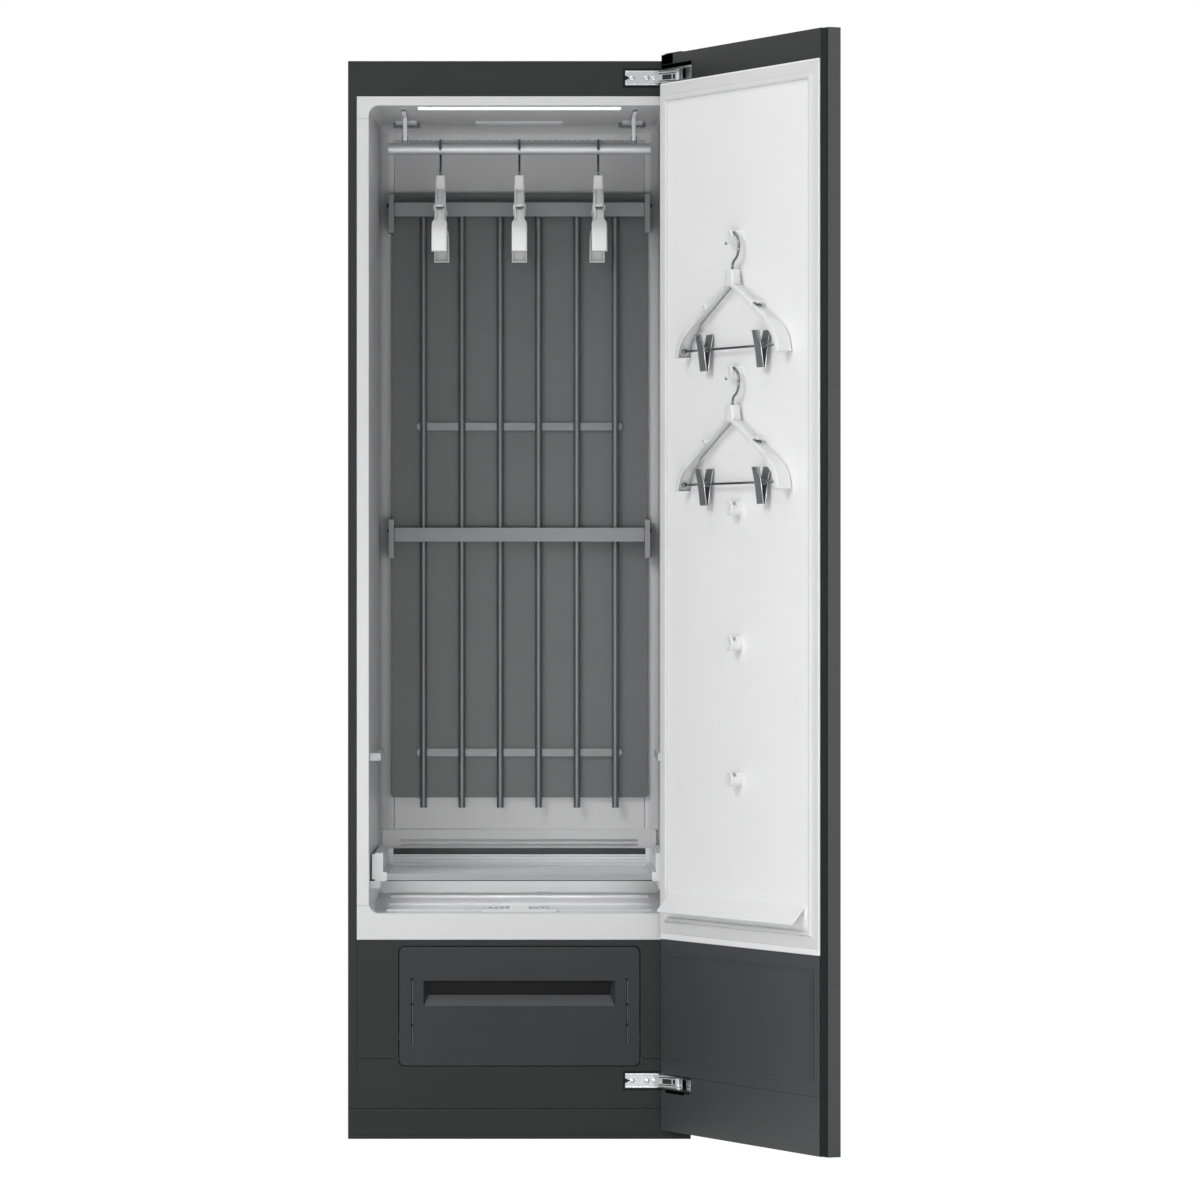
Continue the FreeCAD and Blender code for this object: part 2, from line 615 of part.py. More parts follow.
bar_half = "board_side - bracket_grip - 2 * running_gap"
BARS = (("upper", "(upper_bar_top)"), ("middle", "middle_bar_top"))
brackets = []
for word, top in BARS:
    for sign, hand in ((-1, "left"), (1, "right")):
        inner = "board_side - bracket_grip"
        outer = "board_side - bracket_grip + bracket_width"
        reach = (inner, outer) if sign > 0 else (f"-({outer})", f"-({inner})")
        plate = block(
            f"bracket_{word}_{hand}", reach, ("board_front - bracket_front", "board_front"),
            (f"{top} + bracket_rise - bracket_height", f"{top} + bracket_rise"))
        room = block(
            f"bracket_room_{word}_{hand}", reach, ("board_front", "board_front + 5"),
            (f"{top} - 1", top))
        bore = rod(
            f"bracket_bore_{word}_{hand}", "x", "pin_radius + pin_clear",
            f"{reach[0]} - 1", f"{reach[1]} + 1", "bar_line", f"{top} - bar_pivot_drop")
        brackets.append(cut(f"bracket_cut_{word}_{hand}", plate, bore, room))
node("clamp_brackets", group("bracket_set", *brackets))

for word, top in BARS:
    bar = soft(
        f"bar_{word}", (f"-({bar_half})", bar_half), ("bar_back - bar_thick", "bar_back"),
        (f"{top} - bar_height", top), "bar_radius")
    pivot = rod(
        f"pivot_{word}", "x", "pin_radius", "-(board_side + 5.5)", "board_side + 5.5",
        "bar_line", f"{top} - bar_pivot_drop")
    node(f"{word}_clamp_bar", fuse(f"clamp_{word}", bar, pivot))

tubes = []
for i in range(6):
    tubes.append(rod(
        f"tube_{i + 1}", "z", "press_rod_radius", "press_rod_bottom",
        "upper_bar_top - bar_pivot_drop + 2", f"{i - 2.5} * press_rod_pitch", "press_rod_line"))
face = ("press_rod_line + press_rod_radius - 1", "press_rod_line + press_rod_radius + cross_bar_thick")
cross_levels = (
    "(upper_bar_top - bar_height / 2)", "upper_cross_bar", "(middle_bar_top - bar_height / 2)",
    "lower_cross_bar")
for i, level in enumerate(cross_levels):
    tubes.append(soft(
        f"cross_bar_{i + 1}", ("-cross_bar_length / 2", "cross_bar_length / 2"), face,
        (f"{level} - cross_bar_height / 2", f"{level} + cross_bar_height / 2"),
        "cross_bar_height / 2 - 0.2"))
    for sign in (-1, 1):
        tubes.append(rod(
            f"stud_{i + 1}_{sign + 2}", "y", "4", "press_rod_line + press_rod_radius",
            "board_front", f"{sign} * (cross_bar_length / 2 - 24)", level))
node("press_rack", fuse("rack", *tubes))

grille = wide("grille", "grille_width / 2", ("rear_wall - grille_thick", "rear_wall"), (
    "rear_floor + grille_lift", "grille_top"))
grille_rows = []
for i in range(9):
    level = f"(grille_top) - 19.5 - {8 * i}"
    grille_rows.append(wide(
        f"grille_row_{i + 1}", "grille_width / 2 - 33",
        ("rear_wall - grille_thick - 1", "rear_wall + 1"), (f"{level} - 2", f"{level} + 2")))
node("rear_grille", cut("grille_cut", grille, group("grille_rows", *grille_rows)))

ledges = []
for sign, hand in ((-1, "left"), (1, "right")):
    for word, low in (("low", "shelf_bottom - ledge_height"), ("high", "upper_ledge")):
        near = "shelf_side_x - ledge_reach + 7"
        far = "opening_side + 2"
        reach = (near, far) if sign > 0 else (f"-({far})", f"-({near})")
        strip_block = block(
            f"ledge_{word}_{hand}", reach, ("shelf_front", "shelf_rear - ledge_short"),
            (low, f"{low} + ledge_height"))
        ledges.append(common(f"ledge_fit_{word}_{hand}", strip_block, cavity))
node("shelf_supports", group("ledges", *ledges))

filter_y = ("front + filter_start + 0.4", "front + filter_start + filter_length - 0.4")
filter_cup = wide("filter_cup", "filter_width / 2 - 0.4", filter_y, (
    "opening_bottom - filter_height", "opening_bottom + 5"))
filter_rim = wide("filter_rim", "filter_width / 2 + 5", (
    "front + filter_start - 5", "front + filter_start + filter_length + 5"), (
    "opening_bottom - 1", "opening_bottom + 6.5"))
filter_tab = wide("filter_tab", "tab_width / 2", (
    "front + filter_start - 4", "front + filter_start - 4 + tab_thick"), (
    "opening_bottom + 3", "opening_bottom + 6 + tab_height"))
filter_slots = []
for i in range(-5, 6):
    filter_slots.append(block(
        f"filter_slot_{i + 6}", (f"{i} * 10 - 3", f"{i} * 10 + 3"),
        ("front + filter_start + 14", "front + filter_start + filter_length - 8"),
        ("opening_bottom - 20", "opening_bottom + 30")))
filter_full = fuse(
    "filter_full", filter_cup, common("filter_rim_fit", filter_rim, cavity), filter_tab)
node("floor_filter", cut("filter_cut", filter_full, group("filter_slots", *filter_slots)))

# ------------------------------------------------------------------ hinges

LEVELS = (("upper", "upper_hinge"), ("lower", "lower_hinge"))
arms = []
for word, level in LEVELS:
    plate = block(
        f"arm_plate_{word}", ("arm_start", "arm_end"),
        ("front - arm_proud", "front - arm_proud + arm_thick"),
        (f"{level} - arm_height / 2", f"{level} + arm_height / 2"))
    notch = slab(
        f"arm_notch_{word}", "y", "front - arm_proud - 1", "front + arm_thick", (
            ("arm_start - 1", f"{level} + 5"), ("arm_start + 9", level),
            ("arm_start - 1", f"{level} - 5")))
    link = slab(
        f"arm_link_{word}", "z", f"{level} - link_height / 2", f"{level} + link_height / 2", (
            ("arm_end - 12", "front"), ("arm_end - 12", "front - arm_proud"),
            ("hinge_x - knuckle_radius * 0.7", "hinge_y - knuckle_radius * 0.7"),
            ("hinge_x + knuckle_radius * 0.7", "hinge_y + knuckle_radius * 0.7"),
            ("arm_end", "front - 0.5"), ("arm_end", "front")))
    knuckle = rod(
        f"knuckle_{word}", "z", "knuckle_radius", f"{level} - link_height / 2",
        f"{level} + link_height / 2", "hinge_x", "hinge_y")
    bore = rod(
        f"knuckle_bore_{word}", "z", "hinge_pin_radius + pin_clear",
        f"{level} - link_height", f"{level} + link_height", "hinge_x", "hinge_y")
    screws = []
    for i, x in enumerate(("arm_start + 12", "arm_start + 38", "arm_start + 50")):
        screws.append(rod(
            f"screw_{word}_{i + 1}", "y", "4", "front - arm_proud - 1.2", "front - 1", x, level))
    arms.append(cut(
        f"arm_{word}", fuse(f"arm_full_{word}", plate, link, knuckle, *screws), notch, bore))
node("hinge_arms", group("arm_pair", *arms))

# ------------------------------------------------------------------ door, drawn closed

DOOR_Z = ("door_bottom", "door_top")


def cup_room(name, level, room="0"):
    """The space in the door that takes a hinge cup."""
    half = f"(arm_height / 2 - 0.2 + {room})"
    return block(
        name, (f"cup_end + 8.5 - {room}", "side + 1"),
        ("door_outer + 1.5", "liner_face + 1"), (f"{level} - {half}", f"{level} + {half}"))


recesses = [cup_room(f"recess_{word}", level, "notch_room") for word, level in LEVELS]

skin_outer = wide("skin_outer", "side", ("door_outer", "door_mid"), DOOR_Z)
skin_room = wide("skin_room", "side - door_sheet", ("door_outer + door_sheet", "door_mid + 1"), (
    "door_bottom + door_sheet", "door_top - door_sheet"))
door_node("door_panel", cut("door_skin_cut", skin_outer, skin_room, *recesses))

trim_z = ("door_bottom + trim_inset", "door_top - trim_inset")
trim_outer = wide("trim_outer", "trim_side", ("door_mid", "door_inner"), trim_z)
trim_room = wide("trim_room", "trim_side - trim_wall", ("door_mid - 1", "door_inner + 1"), (
    "door_bottom + trim_inset + trim_wall", "liner_top - seal_width"))
trim_ribs = []
for i in range(1, 6):
    level = f"door_bottom + {i} * (door_top - door_bottom) / 6"
    trim_ribs.append(wide(f"trim_rib_{i}", "trim_side - trim_wall + 1", (
        "door_outer + door_sheet", "door_inner"), (f"{level} - 3", f"{level} + 3")))
trim_full = fuse("trim_full", cut("trim_ring", trim_outer, trim_room), *trim_ribs)
door_node("door_frame", cut("trim_cut", trim_full, *recesses))

LINER_Y = ("door_inner", "liner_face")
liner_plate = wide("liner_plate", "liner_side", LINER_Y, ("liner_bottom", "liner_top"))
liner_field = wide(
    "liner_field", "seal_inner - field_inset", ("liner_face - 1", "door_field"),
    ("opening_bottom - seal_margin + field_inset", "opening_top + seal_margin - field_inset"))
door_node("door_liner", fuse("door_liner_full", liner_plate, liner_field))

seal_y = ("liner_face", "front - seal_clear")
seal_outer = wide("seal_ring", "seal_outer", seal_y, (
    "opening_bottom - seal_margin - seal_width", "opening_top + seal_margin + seal_width"))
seal_room = wide("seal_room", "seal_inner", (f"{seal_y[0]} - 1", f"{seal_y[1]} + 1"), (
    "opening_bottom - seal_margin", "opening_top + seal_margin"))
door_node("door_gasket", cut("seal_cut", seal_outer, seal_room))

cover_y = ("door_inner", "door_inner + cover_thick")
cover = wide("cover", "liner_side", cover_y, ("door_bottom + 2", "liner_bottom - 1"))
emboss = soft(
    "emboss", ("-emboss_width / 2", "emboss_width / 2"),
    ("door_inner + cover_thick - 1", "door_inner + cover_thick + emboss_rise"),
    ("emboss_bottom", "emboss_bottom + emboss_height"), "3")
cover_seam = wide("cover_seam", "side", (
    "door_inner + cover_thick - 0.8", "door_inner + cover_thick + 2"), (
    "cover_bottom - seam / 2", "cover_bottom + seam / 2"))
door_node("door_lower_cover", cut("cover_cut", fuse("cover_full", cover, emboss), cover_seam, recesses[1]))

pegs = []
for i in range(5):
    level = f"peg_top - peg_neck_radius - {i} * peg_pitch"
    start = "door_field"
    neck = "door_field + peg_base + peg_neck_length"
    pegs.append(fuse(
        f"peg_{i + 1}",
        rod(f"peg_base_{i + 1}", "y", "peg_disc_radius", start, f"{start} + peg_base", "peg_offset", level),
        rod(f"peg_neck_{i + 1}", "y", "peg_neck_radius", start, neck, "peg_offset", level),
        rod(f"peg_disc_{i + 1}", "y", "peg_disc_radius", neck, f"{neck} + peg_tip", "peg_offset", level)))
door_node("door_hooks", group("peg_row", *pegs))

low = "deflector_top - deflector_drop"
door_node("door_deflector", slab(
    "deflector", "x", "-deflector_width / 2", "deflector_width / 2", (
        ("door_field", "deflector_top"), ("door_field + 3", "deflector_top"),
        ("door_field + deflector_reach", f"{low} + 3"), ("door_field + deflector_reach", low),
        ("door_field + deflector_reach - deflector_thick", low),
        ("door_field + deflector_reach - deflector_thick", f"{low} + 2"),
        ("door_field + 2", "deflector_top - 3.5"), ("door_field + 2", f"{low} + 6"),
        ("door_field", f"{low} + 6"))))

cups = []
for word, level in LEVELS:
    outer = block(
        f"cup_outer_{word}", ("cup_end + 8.5", "side - door_sheet"),
        ("door_outer + 1.5", "door_inner"),
        (f"{level} - arm_height / 2 + 0.2", f"{level} + arm_height / 2 - 0.2"))
    room = block(
        f"cup_inner_{word}", ("cup_end + 8.5 + cup_wall", "side + 1"),
        ("door_outer + 1.5 + cup_wall", "door_inner + 1"),
        (f"{level} - link_height / 2 - running_gap", f"{level} + link_height / 2 + running_gap"))
    pin_rod = rod(
        f"hinge_pin_{word}", "z", "hinge_pin_radius", f"{level} - link_height / 2 - 2",
        f"{level} + link_height / 2 + 2", "hinge_x", "hinge_y")
    cups.append(fuse(f"cup_{word}", cut(f"cup_shell_{word}", outer, room), pin_rod))
door_node("hinge_cups", group("cup_pair", *cups))

cap_low = block(
    "cap_low", ("side - 66", "side - 3"), ("door_outer + 6", "door_inner - 4"),
    ("door_top", "door_top + 0.8"))
cap_high = block(
    "cap_high", ("side - 34", "side - 10"), ("door_outer + 14", "door_inner - 9"),
    ("door_top + 0.5", "door_top + 1.4"))
door_node("door_top_cap", fuse("cap", cap_low, cap_high))

# ------------------------------------------------------------------ water tank drawer

bay_outer = wide("bay_outer", "bay_side + bay_wall", ("bay_front", "bay_rear"), (
    "bay_bottom - bay_wall", "bay_top + bay_wall"))
bay_room = wide("bay_space", "bay_side", ("bay_front - 1", "bay_rear - bay_wall"), (
    "bay_bottom", "bay_top"))
bay_rails = []
for sign, hand in ((-1, "left"), (1, "right")):
    reach = ("bay_side - rail_width", "bay_side + 1")
    reach = reach if sign > 0 else (f"-({reach[1]})", f"-({reach[0]})")
    bay_rails.append(block(
        f"bay_rail_{hand}", reach, ("tray_front + 1", "bay_rear - bay_wall"),
        ("rail_bottom", "rail_bottom + rail_height")))
node("tank_bay", fuse("bay", cut("bay_shell", bay_outer, bay_room), *bay_rails))

drawer_face = soft(
    "drawer_face", ("-(drawer_side)", "drawer_side"), ("front - drawer_proud", "tray_front"),
    ("drawer_bottom", "drawer_top"), "drawer_radius")
grip = add("Part::Wedge", "grip")
grip_sizes = {
    "Ymin": "front - drawer_proud", "Ymax": "front - drawer_proud + grip_deep",
    "Xmin": "-grip_width / 2", "Xmax": "grip_width / 2",
    "Zmin": "grip_bottom", "Zmax": "grip_bottom + grip_height",
    "X2min": "-(grip_width / 2 - grip_end)", "X2max": "grip_width / 2 - grip_end",
    "Z2min": "grip_bottom + grip_lip", "Z2max": "grip_bottom + grip_height",
}
for word, text in grip_sizes.items():
    bind(grip, word, text)
marks = []
for sign in (-1, 1):
    middle = f"{sign} * slit_offset"
    marks.append(block(
        f"slit_{sign + 2}", (f"{middle} - slit_width / 2", f"{middle} + slit_width / 2"),
        ("front - drawer_proud - 1", "front - drawer_proud + 0.8"),
        ("slit_bottom", "slit_bottom + slit_height")))
    for i, level in enumerate(("dot_high", "dot_middle", "dot_low")):
        marks.append(rod(
            f"dot_{sign + 2}_{i + 1}", "y", "dot_radius", "front - drawer_proud - 1",
            "front - drawer_proud + 0.8", middle, level))
node("drawer_front", cut("drawer_cut", drawer_face, grip, fuse("marks", *marks)))

tray_y = ("tray_front", "tray_rear")
tray_top = "tray_bottom + tray_height"
tray_outer = wide("tray_outer", "tray_side", tray_y, ("tray_bottom", tray_top))
tray_room = wide("tray_room", "tray_side - tray_wall", (
    "tray_front + tray_wall", "tray_rear - tray_wall"), (
    "tray_bottom + tray_wall", f"{tray_top} + 1"))
runners = []
for sign in (-1, 1):
    for word, low in (("over", "rail_bottom + rail_height + running_gap / 3"), (
            "under", "rail_bottom - 3 - running_gap")):
        reach = ("tray_side - 1", "bay_side - 2 * running_gap")
        reach = reach if sign > 0 else (f"-({reach[1]})", f"-({reach[0]})")
        runners.append(block(f"runner_{word}_{sign + 2}", reach, tray_y, (low, f"{low} + 3")))
divider = block(
    "tray_divider", ("-tray_wall / 2", "tray_wall / 2"), tray_y,
    ("tray_bottom + 1", f"{tray_top} - 40"))
node("drawer_tray", fuse("tray", cut("tray_shell", tray_outer, tray_room), divider, *runners))

for sign, word in ((-1, "supply_tank"), (1, "drain_tank")):
    near = "tray_wall / 2 + tank_room"
    far = "tray_side - tray_wall - tank_room"
    x = (near, far) if sign > 0 else (f"-({far})", f"-({near})")
    y = ("tray_front + tray_wall + tank_room", "tray_rear - tray_wall - tank_room")
    z = ("tray_bottom + tray_wall", "tray_bottom + tray_wall + tank_height")
    thin = "tank_wall"
    middle = f"{sign} * (tray_side / 2)"
    neck_y = f"{y[0]} + 50"
    body = block(f"{word}_outer", x, y, z)
    neck = rod(f"{word}_neck", "z", "neck_radius", f"{z[1]} - 1", f"{z[1]} + neck_height", middle, neck_y)
    room = block(
        f"{word}_room", (f"{x[0]} + {thin}", f"{x[1]} - {thin}"),
        (f"{y[0]} + {thin}", f"{y[1]} - {thin}"), (f"{z[0]} + {thin}", f"{z[1]} - {thin}"))
    bore = rod(
        f"{word}_bore", "z", "neck_radius - 2", f"{z[1]} - 10", f"{z[1]} + neck_height - 2",
        middle, neck_y)
    node(word, cut(f"{word}_cut", fuse(f"{word}_full", body, neck), fuse(f"{word}_hollow", room, bore)))

# ------------------------------------------------------------------ shelf

inner = "shelf_side_x - shelf_side"
shelf_parts = []
for sign, hand in ((-1, "left"), (1, "right")):
    def hand_x(near, far):
        return (near, far) if sign > 0 else (f"-({far})", f"-({near})")
    shelf_parts.append(block(
        f"shelf_side_{hand}", hand_x(inner, "shelf_side_x"), ("shelf_front", "shelf_rear"),
        ("shelf_bottom", "shelf_top")))
    shelf_parts.append(block(
        f"shelf_foot_{hand}", hand_x("shelf_side_x - shelf_foot", "shelf_side_x"),
        ("shelf_front", "shelf_rear"), ("shelf_bottom", "shelf_bottom + shelf_ledge")))
    shelf_parts.append(block(
        f"shelf_cap_{hand}", hand_x("shelf_side_x - 1", "shelf_side_x + shelf_cap_proud"),
        ("shelf_front", "shelf_front + shelf_cap_length"), ("shelf_bottom + 3", "shelf_top - 2")))
shelf_parts.append(wide("shelf_deck_plate", f"{inner} + 1", ("shelf_front", "shelf_rear"), (
    "shelf_floor", "shelf_floor + shelf_deck")))
shelf_parts.append(wide("shelf_back_board", f"{inner} + 1", ("shelf_rear - shelf_back", "shelf_rear"), (
    "shelf_floor - 6", "shelf_top - 6")))
shelf_parts.append(wide("shelf_front_rail", f"{inner} + 1", ("shelf_front", "shelf_front + shelf_rail"), (
    "shelf_bottom + 2", "shelf_floor + shelf_deck")))
slots = []
for i in range(-3, 4):
    level = f"(shelf_front + shelf_rear) / 2 + {i} * shelf_slot_pitch"
    slots.append(wide(
        f"shelf_slot_{i + 4}", f"{inner} - shelf_slot",
        (f"{level} - shelf_slot / 2", f"{level} + shelf_slot / 2"),
        ("shelf_floor - 5", "shelf_floor + 10")))
node("shelf_tray", cut("shelf_cut", fuse("shelf_full", *shelf_parts), group("shelf_slots", *slots)))

# ------------------------------------------------------------------ hangers


def arc(radius, slope):
    """A point on the curved shoulder, measured from the middle of the hang point."""
    return f"arc_x + {radius} * sin({slope})", f"{radius} * cos({slope}) - hanger_drop"


def shoulder(name, plane, middle, outer, thick, line, top, depth):
    """Half of a hanger arm as a band: one side of the middle, then the other."""
    inner = f"({outer} - {depth})"
    slopes = ["hanger_slope"]
    slopes += [f"(hanger_slope + {i} / 5 * (tip_slope - hanger_slope))" for i in range(1, 6)]
    rise = "tan(hanger_slope)"
    halves = []
    for sign in (-1, 1):
        points = []
        u, v = arc(outer, "hanger_slope")
        points.append(("0", f"{v} + ({u}) * {rise}"))
        points += [arc(outer, slope) for slope in slopes]
        points += [arc(inner, slope) for slope in reversed(slopes)]
        u, v = arc(inner, "hanger_slope")
        points.append(("0", f"{v} + ({u}) * {rise}"))
        points = [(f"{line} + {sign} * ({u})", f"{top} + ({v})") for u, v in points]
        halves.append(slab(
            f"{name}_{sign + 2}", plane, f"{middle} - {thick} / 2", f"{middle} + {thick} / 2", points))
    return fuse(f"{name}_arms", *halves)


def ring_arc(name, plane, across, along, up, radius, start, sweep):
    """Part of a wire ring that lies across an axis."""
    made = add("Part::Torus", name)
    bind(made, "Radius1", radius)
    bind(made, "Radius2", "wire_radius")
    bind(made, "Angle3", sweep)
    places = (across, along, up) if plane == "x" else (along, across, up)
    axis = Vector(1, 0, 0) if plane == "x" else Vector(0, -1, 0)
    return seat(made, *places, Rotation(axis, start) * TURNS[plane])


LEAN = math.degrees(math.acos(SIZES["hook_return"] / (SIZES["hook_radius"] + SIZES["hook_return"])))
HOOK_SWEEP = 195
HOOK_STARTS = {1: (-LEAN, 180 - LEAN), -1: (180 - HOOK_SWEEP, 0)}


def hanger(name, plane, middle, line, top, hand):
    """A hanger in the plane across an axis.

    Line is its middle, top is where its hook rests, and hand is the side its wire passes on.
    """
    hook_start, bend_start = HOOK_STARTS[hand]
    outer = shoulder(
        f"{name}_band", plane, middle, "shoulder_radius", "hanger_thick", line, top, "hanger_band")
    room = shoulder(
        f"{name}_hollow", plane, middle, "(shoulder_radius - hanger_wall)",
        "(hanger_thick - 2 * hanger_wall)", line, top, "(hanger_band + 4)")
    neck_z = (f"{top} - neck_top - 27", f"{top} - neck_top")
    along = (f"{line} - neck_half", f"{line} + neck_half")
    across = (f"{middle} - neck_thick / 2", f"{middle} + neck_thick / 2")
    x, y = (across, along) if plane == "x" else (along, across)
    neck = block(f"{name}_neck", x, y, neck_z)
    rise = "sqrt((hook_radius + hook_return) ^ 2 - hook_return ^ 2)"
    centre = f"({top} + wire_radius - hook_radius)"
    big = ring_arc(
        f"{name}_hook", plane, middle, line, centre, "hook_radius", hook_start,
        f"{LEAN + HOOK_SWEEP}")
    bend = ring_arc(
        f"{name}_bend", plane, middle, f"{line} + {hand} * hook_return", f"{centre} - {rise}",
        "hook_return", bend_start, f"{LEAN}")
    wire = rod(
        f"{name}_stem", "z", "wire_radius", f"{top} - neck_top - 5", f"{centre} - {rise}",
        middle if plane == "x" else line, line if plane == "x" else middle)
    body = cut(f"{name}_body", outer, room)
    return fuse(f"{name}_frame", body, neck, big, bend, wire)


for i in range(3):
    middle = f"{i - 1} * hanger_pitch"
    node(f"coat_hanger_{i + 1}", hanger(
        f"coat_{i + 1}", "x", middle, "rod_line", "notch_seat + 0.1", 1))

for i in range(2):
    top = f"(peg_top - {i} * peg_pitch)"
    name = f"trouser_{i + 1}"
    frame = hanger(name, "y", "peg_line", "peg_offset", top, -1)
    bar_z = f"{top} - clip_bar_drop"
    reach = "(hanger_half - 1.4 * hanger_wall)"
    clip_rail = rod(
        f"{name}_rail", "x", "wire_radius", f"peg_offset - {reach}", f"peg_offset + {reach}",
        "peg_line", bar_z)
    door_node(f"trouser_hanger_{i + 1}", fuse(f"{name}_all", frame, clip_rail))
    for sign, hand in ((-1, "left"), (1, "right")):
        mark = f"clip_{i + 1}_{hand}"
        centre = f"peg_offset + {sign} * clip_offset"
        half = "(clip_width / 2)"
        ear_half = "(clip_width / 2 - ear_thick - 0.2)"

        def leg(word, side):
            points = (
                (f"{side} * clip_spread", "clip_top"),
                (f"{side} * (clip_spread + jaw_thick)", "clip_top"),
                (f"{side} * (clip_barrel + 0.3 + jaw_thick)", "0"),
                (f"{side} * (jaw_gap / 2 + jaw_thick)", "-clip_bottom"),
                (f"{side} * jaw_gap / 2", "-clip_bottom"),
                (f"{side} * (clip_barrel + 0.3)", "-4"), (f"{side} * (clip_barrel + 0.3)", "2"))
            points = [(f"peg_line + {u}", f"{bar_z} + {v}") for u, v in points]
            return slab(f"{mark}_{word}", "x", f"{centre} - {half}", f"{centre} + {half}", points)

        hole = rod(
            f"{mark}_bore", "x", "wire_radius + pin_clear", f"{centre} - clip_width",
            f"{centre} + clip_width", "peg_line", bar_z)
        barrel = rod(
            f"{mark}_barrel", "x", "clip_barrel", f"{centre} - {ear_half}", f"{centre} + {ear_half}",
            "peg_line", bar_z)
        web = block(
            f"{mark}_web", (f"{centre} - {ear_half}", f"{centre} + {ear_half}"),
            ("peg_line - clip_barrel - 1.5", "peg_line"), (f"{bar_z} - 1.5", f"{bar_z} + 1.5"))
        door_node(f"clip_{i + 1}_{hand}", cut(
            f"{mark}_cut", fuse(f"{mark}_full", leg("fixed", -1), barrel, web), hole))
        ears = []
        for end in (-1, 1):
            low, high = f"{centre} + {end} * {half}", f"{centre} + {end} * ({half} - ear_thick)"
            low, high = (high, low) if end > 0 else (low, high)
            ears.append(rod(f"{mark}_ear_{end + 2}", "x", "ear_radius - 0.5", low, high, "peg_line", bar_z))
            ears.append(block(
                f"{mark}_tab_{end + 2}", (low, high), ("peg_line", "peg_line + ear_radius + 0.3"),
                (f"{bar_z} - 2", f"{bar_z} + 2")))
        door_node(f"jaw_{i + 1}_{hand}", cut(
            f"{mark}_jaw_cut", fuse(f"{mark}_jaw_full", leg("moving", 1), *ears), hole))

# ------------------------------------------------------------------ fan and duct


def fan_rod(name, radius, low, high):
    """A cylinder on the fan's own axis."""
    return rod(name, "y", radius, low, high, "fan_offset", "fan_height")


can = fan_rod("scroll_can", "fan_radius", "fan_front", "liner_back")
outlet = block(
    "scroll_outlet", ("outlet_left", "outlet_left + outlet_width"), ("fan_front", "liner_back"),
    ("fan_height", "outlet_top"))
can_room = fan_rod(
    "scroll_room", "fan_radius - fan_wall", "fan_front + fan_wall", "liner_back - fan_wall")
outlet_room = block(
    "outlet_room", ("outlet_left + fan_wall", "outlet_left + outlet_width - fan_wall"),
    ("fan_front + fan_wall", "liner_back - fan_wall"), ("fan_height", "outlet_top - fan_wall"))
outlet_hole = block(
    "outlet_hole", ("outlet_left + outlet_edge", "outlet_left + outlet_width - outlet_edge"),
    ("liner_back - 5", "liner_back + 5"),
    ("outlet_top - outlet_edge - outlet_open", "outlet_top - outlet_edge"))
shaft_hole = fan_rod("shaft_hole", "shaft_radius + 1", "fan_front - 5", "fan_front + 5")
INLETS = 8
inlets = []
for i in range(INLETS):
    turn = f"{i} * 360 / {INLETS}"
    inlets.append(rod(
        f"inlet_{i + 1}", "y", "inlet_radius", "fan_front - 5", "fan_front + 5",
        f"fan_offset + inlet_circle * cos({turn})", f"fan_height + inlet_circle * sin({turn})"))
fan_foot = block(
    "scroll_foot", ("fan_offset - fan_foot_width / 2", "fan_offset + fan_foot_width / 2"),
    ("fan_front + fan_foot_inset", "liner_back - fan_foot_inset"),
    ("base_sheet", "fan_height - fan_radius + 2 * fan_wall"))
scroll_void = fuse(
    "scroll_void", can_room, outlet_room, outlet_hole, shaft_hole, group("inlet_ring", *inlets))
node("fan_scroll", cut("scroll", fuse("scroll_full", can, outlet, fan_foot), scroll_void))

motor_can = fan_rod("motor_can", "motor_radius", "fan_front - motor_length", "fan_front")
motor_bore = fan_rod(
    "motor_bore", "shaft_radius + pin_clear", "fan_front - motor_length + shaft_free",
    "fan_front + 1")
node("fan_motor", cut("motor", motor_can, motor_bore))

shaft = fan_rod(
    "shaft", "shaft_radius", "fan_front - motor_length + shaft_free + 0.5", "wheel_back")
disc = fan_rod("wheel_disc", "impeller_radius", "wheel_back - impeller_sheet", "wheel_back")
hub = fan_rod("wheel_hub", "hub_radius", "wheel_back - hub_length", "wheel_back")
rim = cut(
    "wheel_rim",
    fan_rod("rim_outer", "impeller_radius", "wheel_front", "wheel_front + impeller_sheet"),
    fan_rod("rim_inner", "impeller_radius - impeller_rim", "wheel_front - 1", "wheel_front + 4"))
BLADES = 24
blades = []
for i in range(BLADES):
    blade = add("Part::Box", f"blade_{i + 1}")
    bind(blade, "Length", "blade_length")
    bind(blade, "Width", "impeller_width")
    bind(blade, "Height", "blade_thick")
    angle = 360 / BLADES * i
    place = "(impeller_radius - blade_length - 1)"
    blades.append(seat(
        blade, f"fan_offset + {place} * cos({angle})", "wheel_front",
        f"fan_height + {place} * sin({angle})", Rotation(Vector(0, -1, 0), angle)))
node("fan_impeller", fuse("wheel", shaft, disc, hub, rim, *blades))


def duct_shape(name, shrink, up):
    """The riser from the fan and the plenum behind the grille, or the room inside them."""
    depth = (f"liner_back + {shrink}", f"liner_back + duct_thick - {shrink}")
    riser = block(
        f"{name}_riser", (
            f"duct_x - duct_width / 2 + {shrink}", f"duct_x + duct_width / 2 - {shrink}"),
        depth, (f"outlet_top - duct_drop + {shrink}", f"rear_floor + {up}"))
    plenum = wide(f"{name}_plenum", f"grille_width / 2 - plenum_inset - {shrink}", depth, (
        f"rear_floor + plenum_rise + {shrink}", f"grille_top - 4 - {shrink}"))
    return fuse(name, riser, plenum)


duct_void = fuse("duct_void", duct_shape("duct_room", "duct_wall", "30"), outlet_hole, air_hole)
node("rear_duct", cut("duct", duct_shape("duct_full", "0", "20"), duct_void))

# ------------------------------------------------------------------ heat pump, boiler, pumps

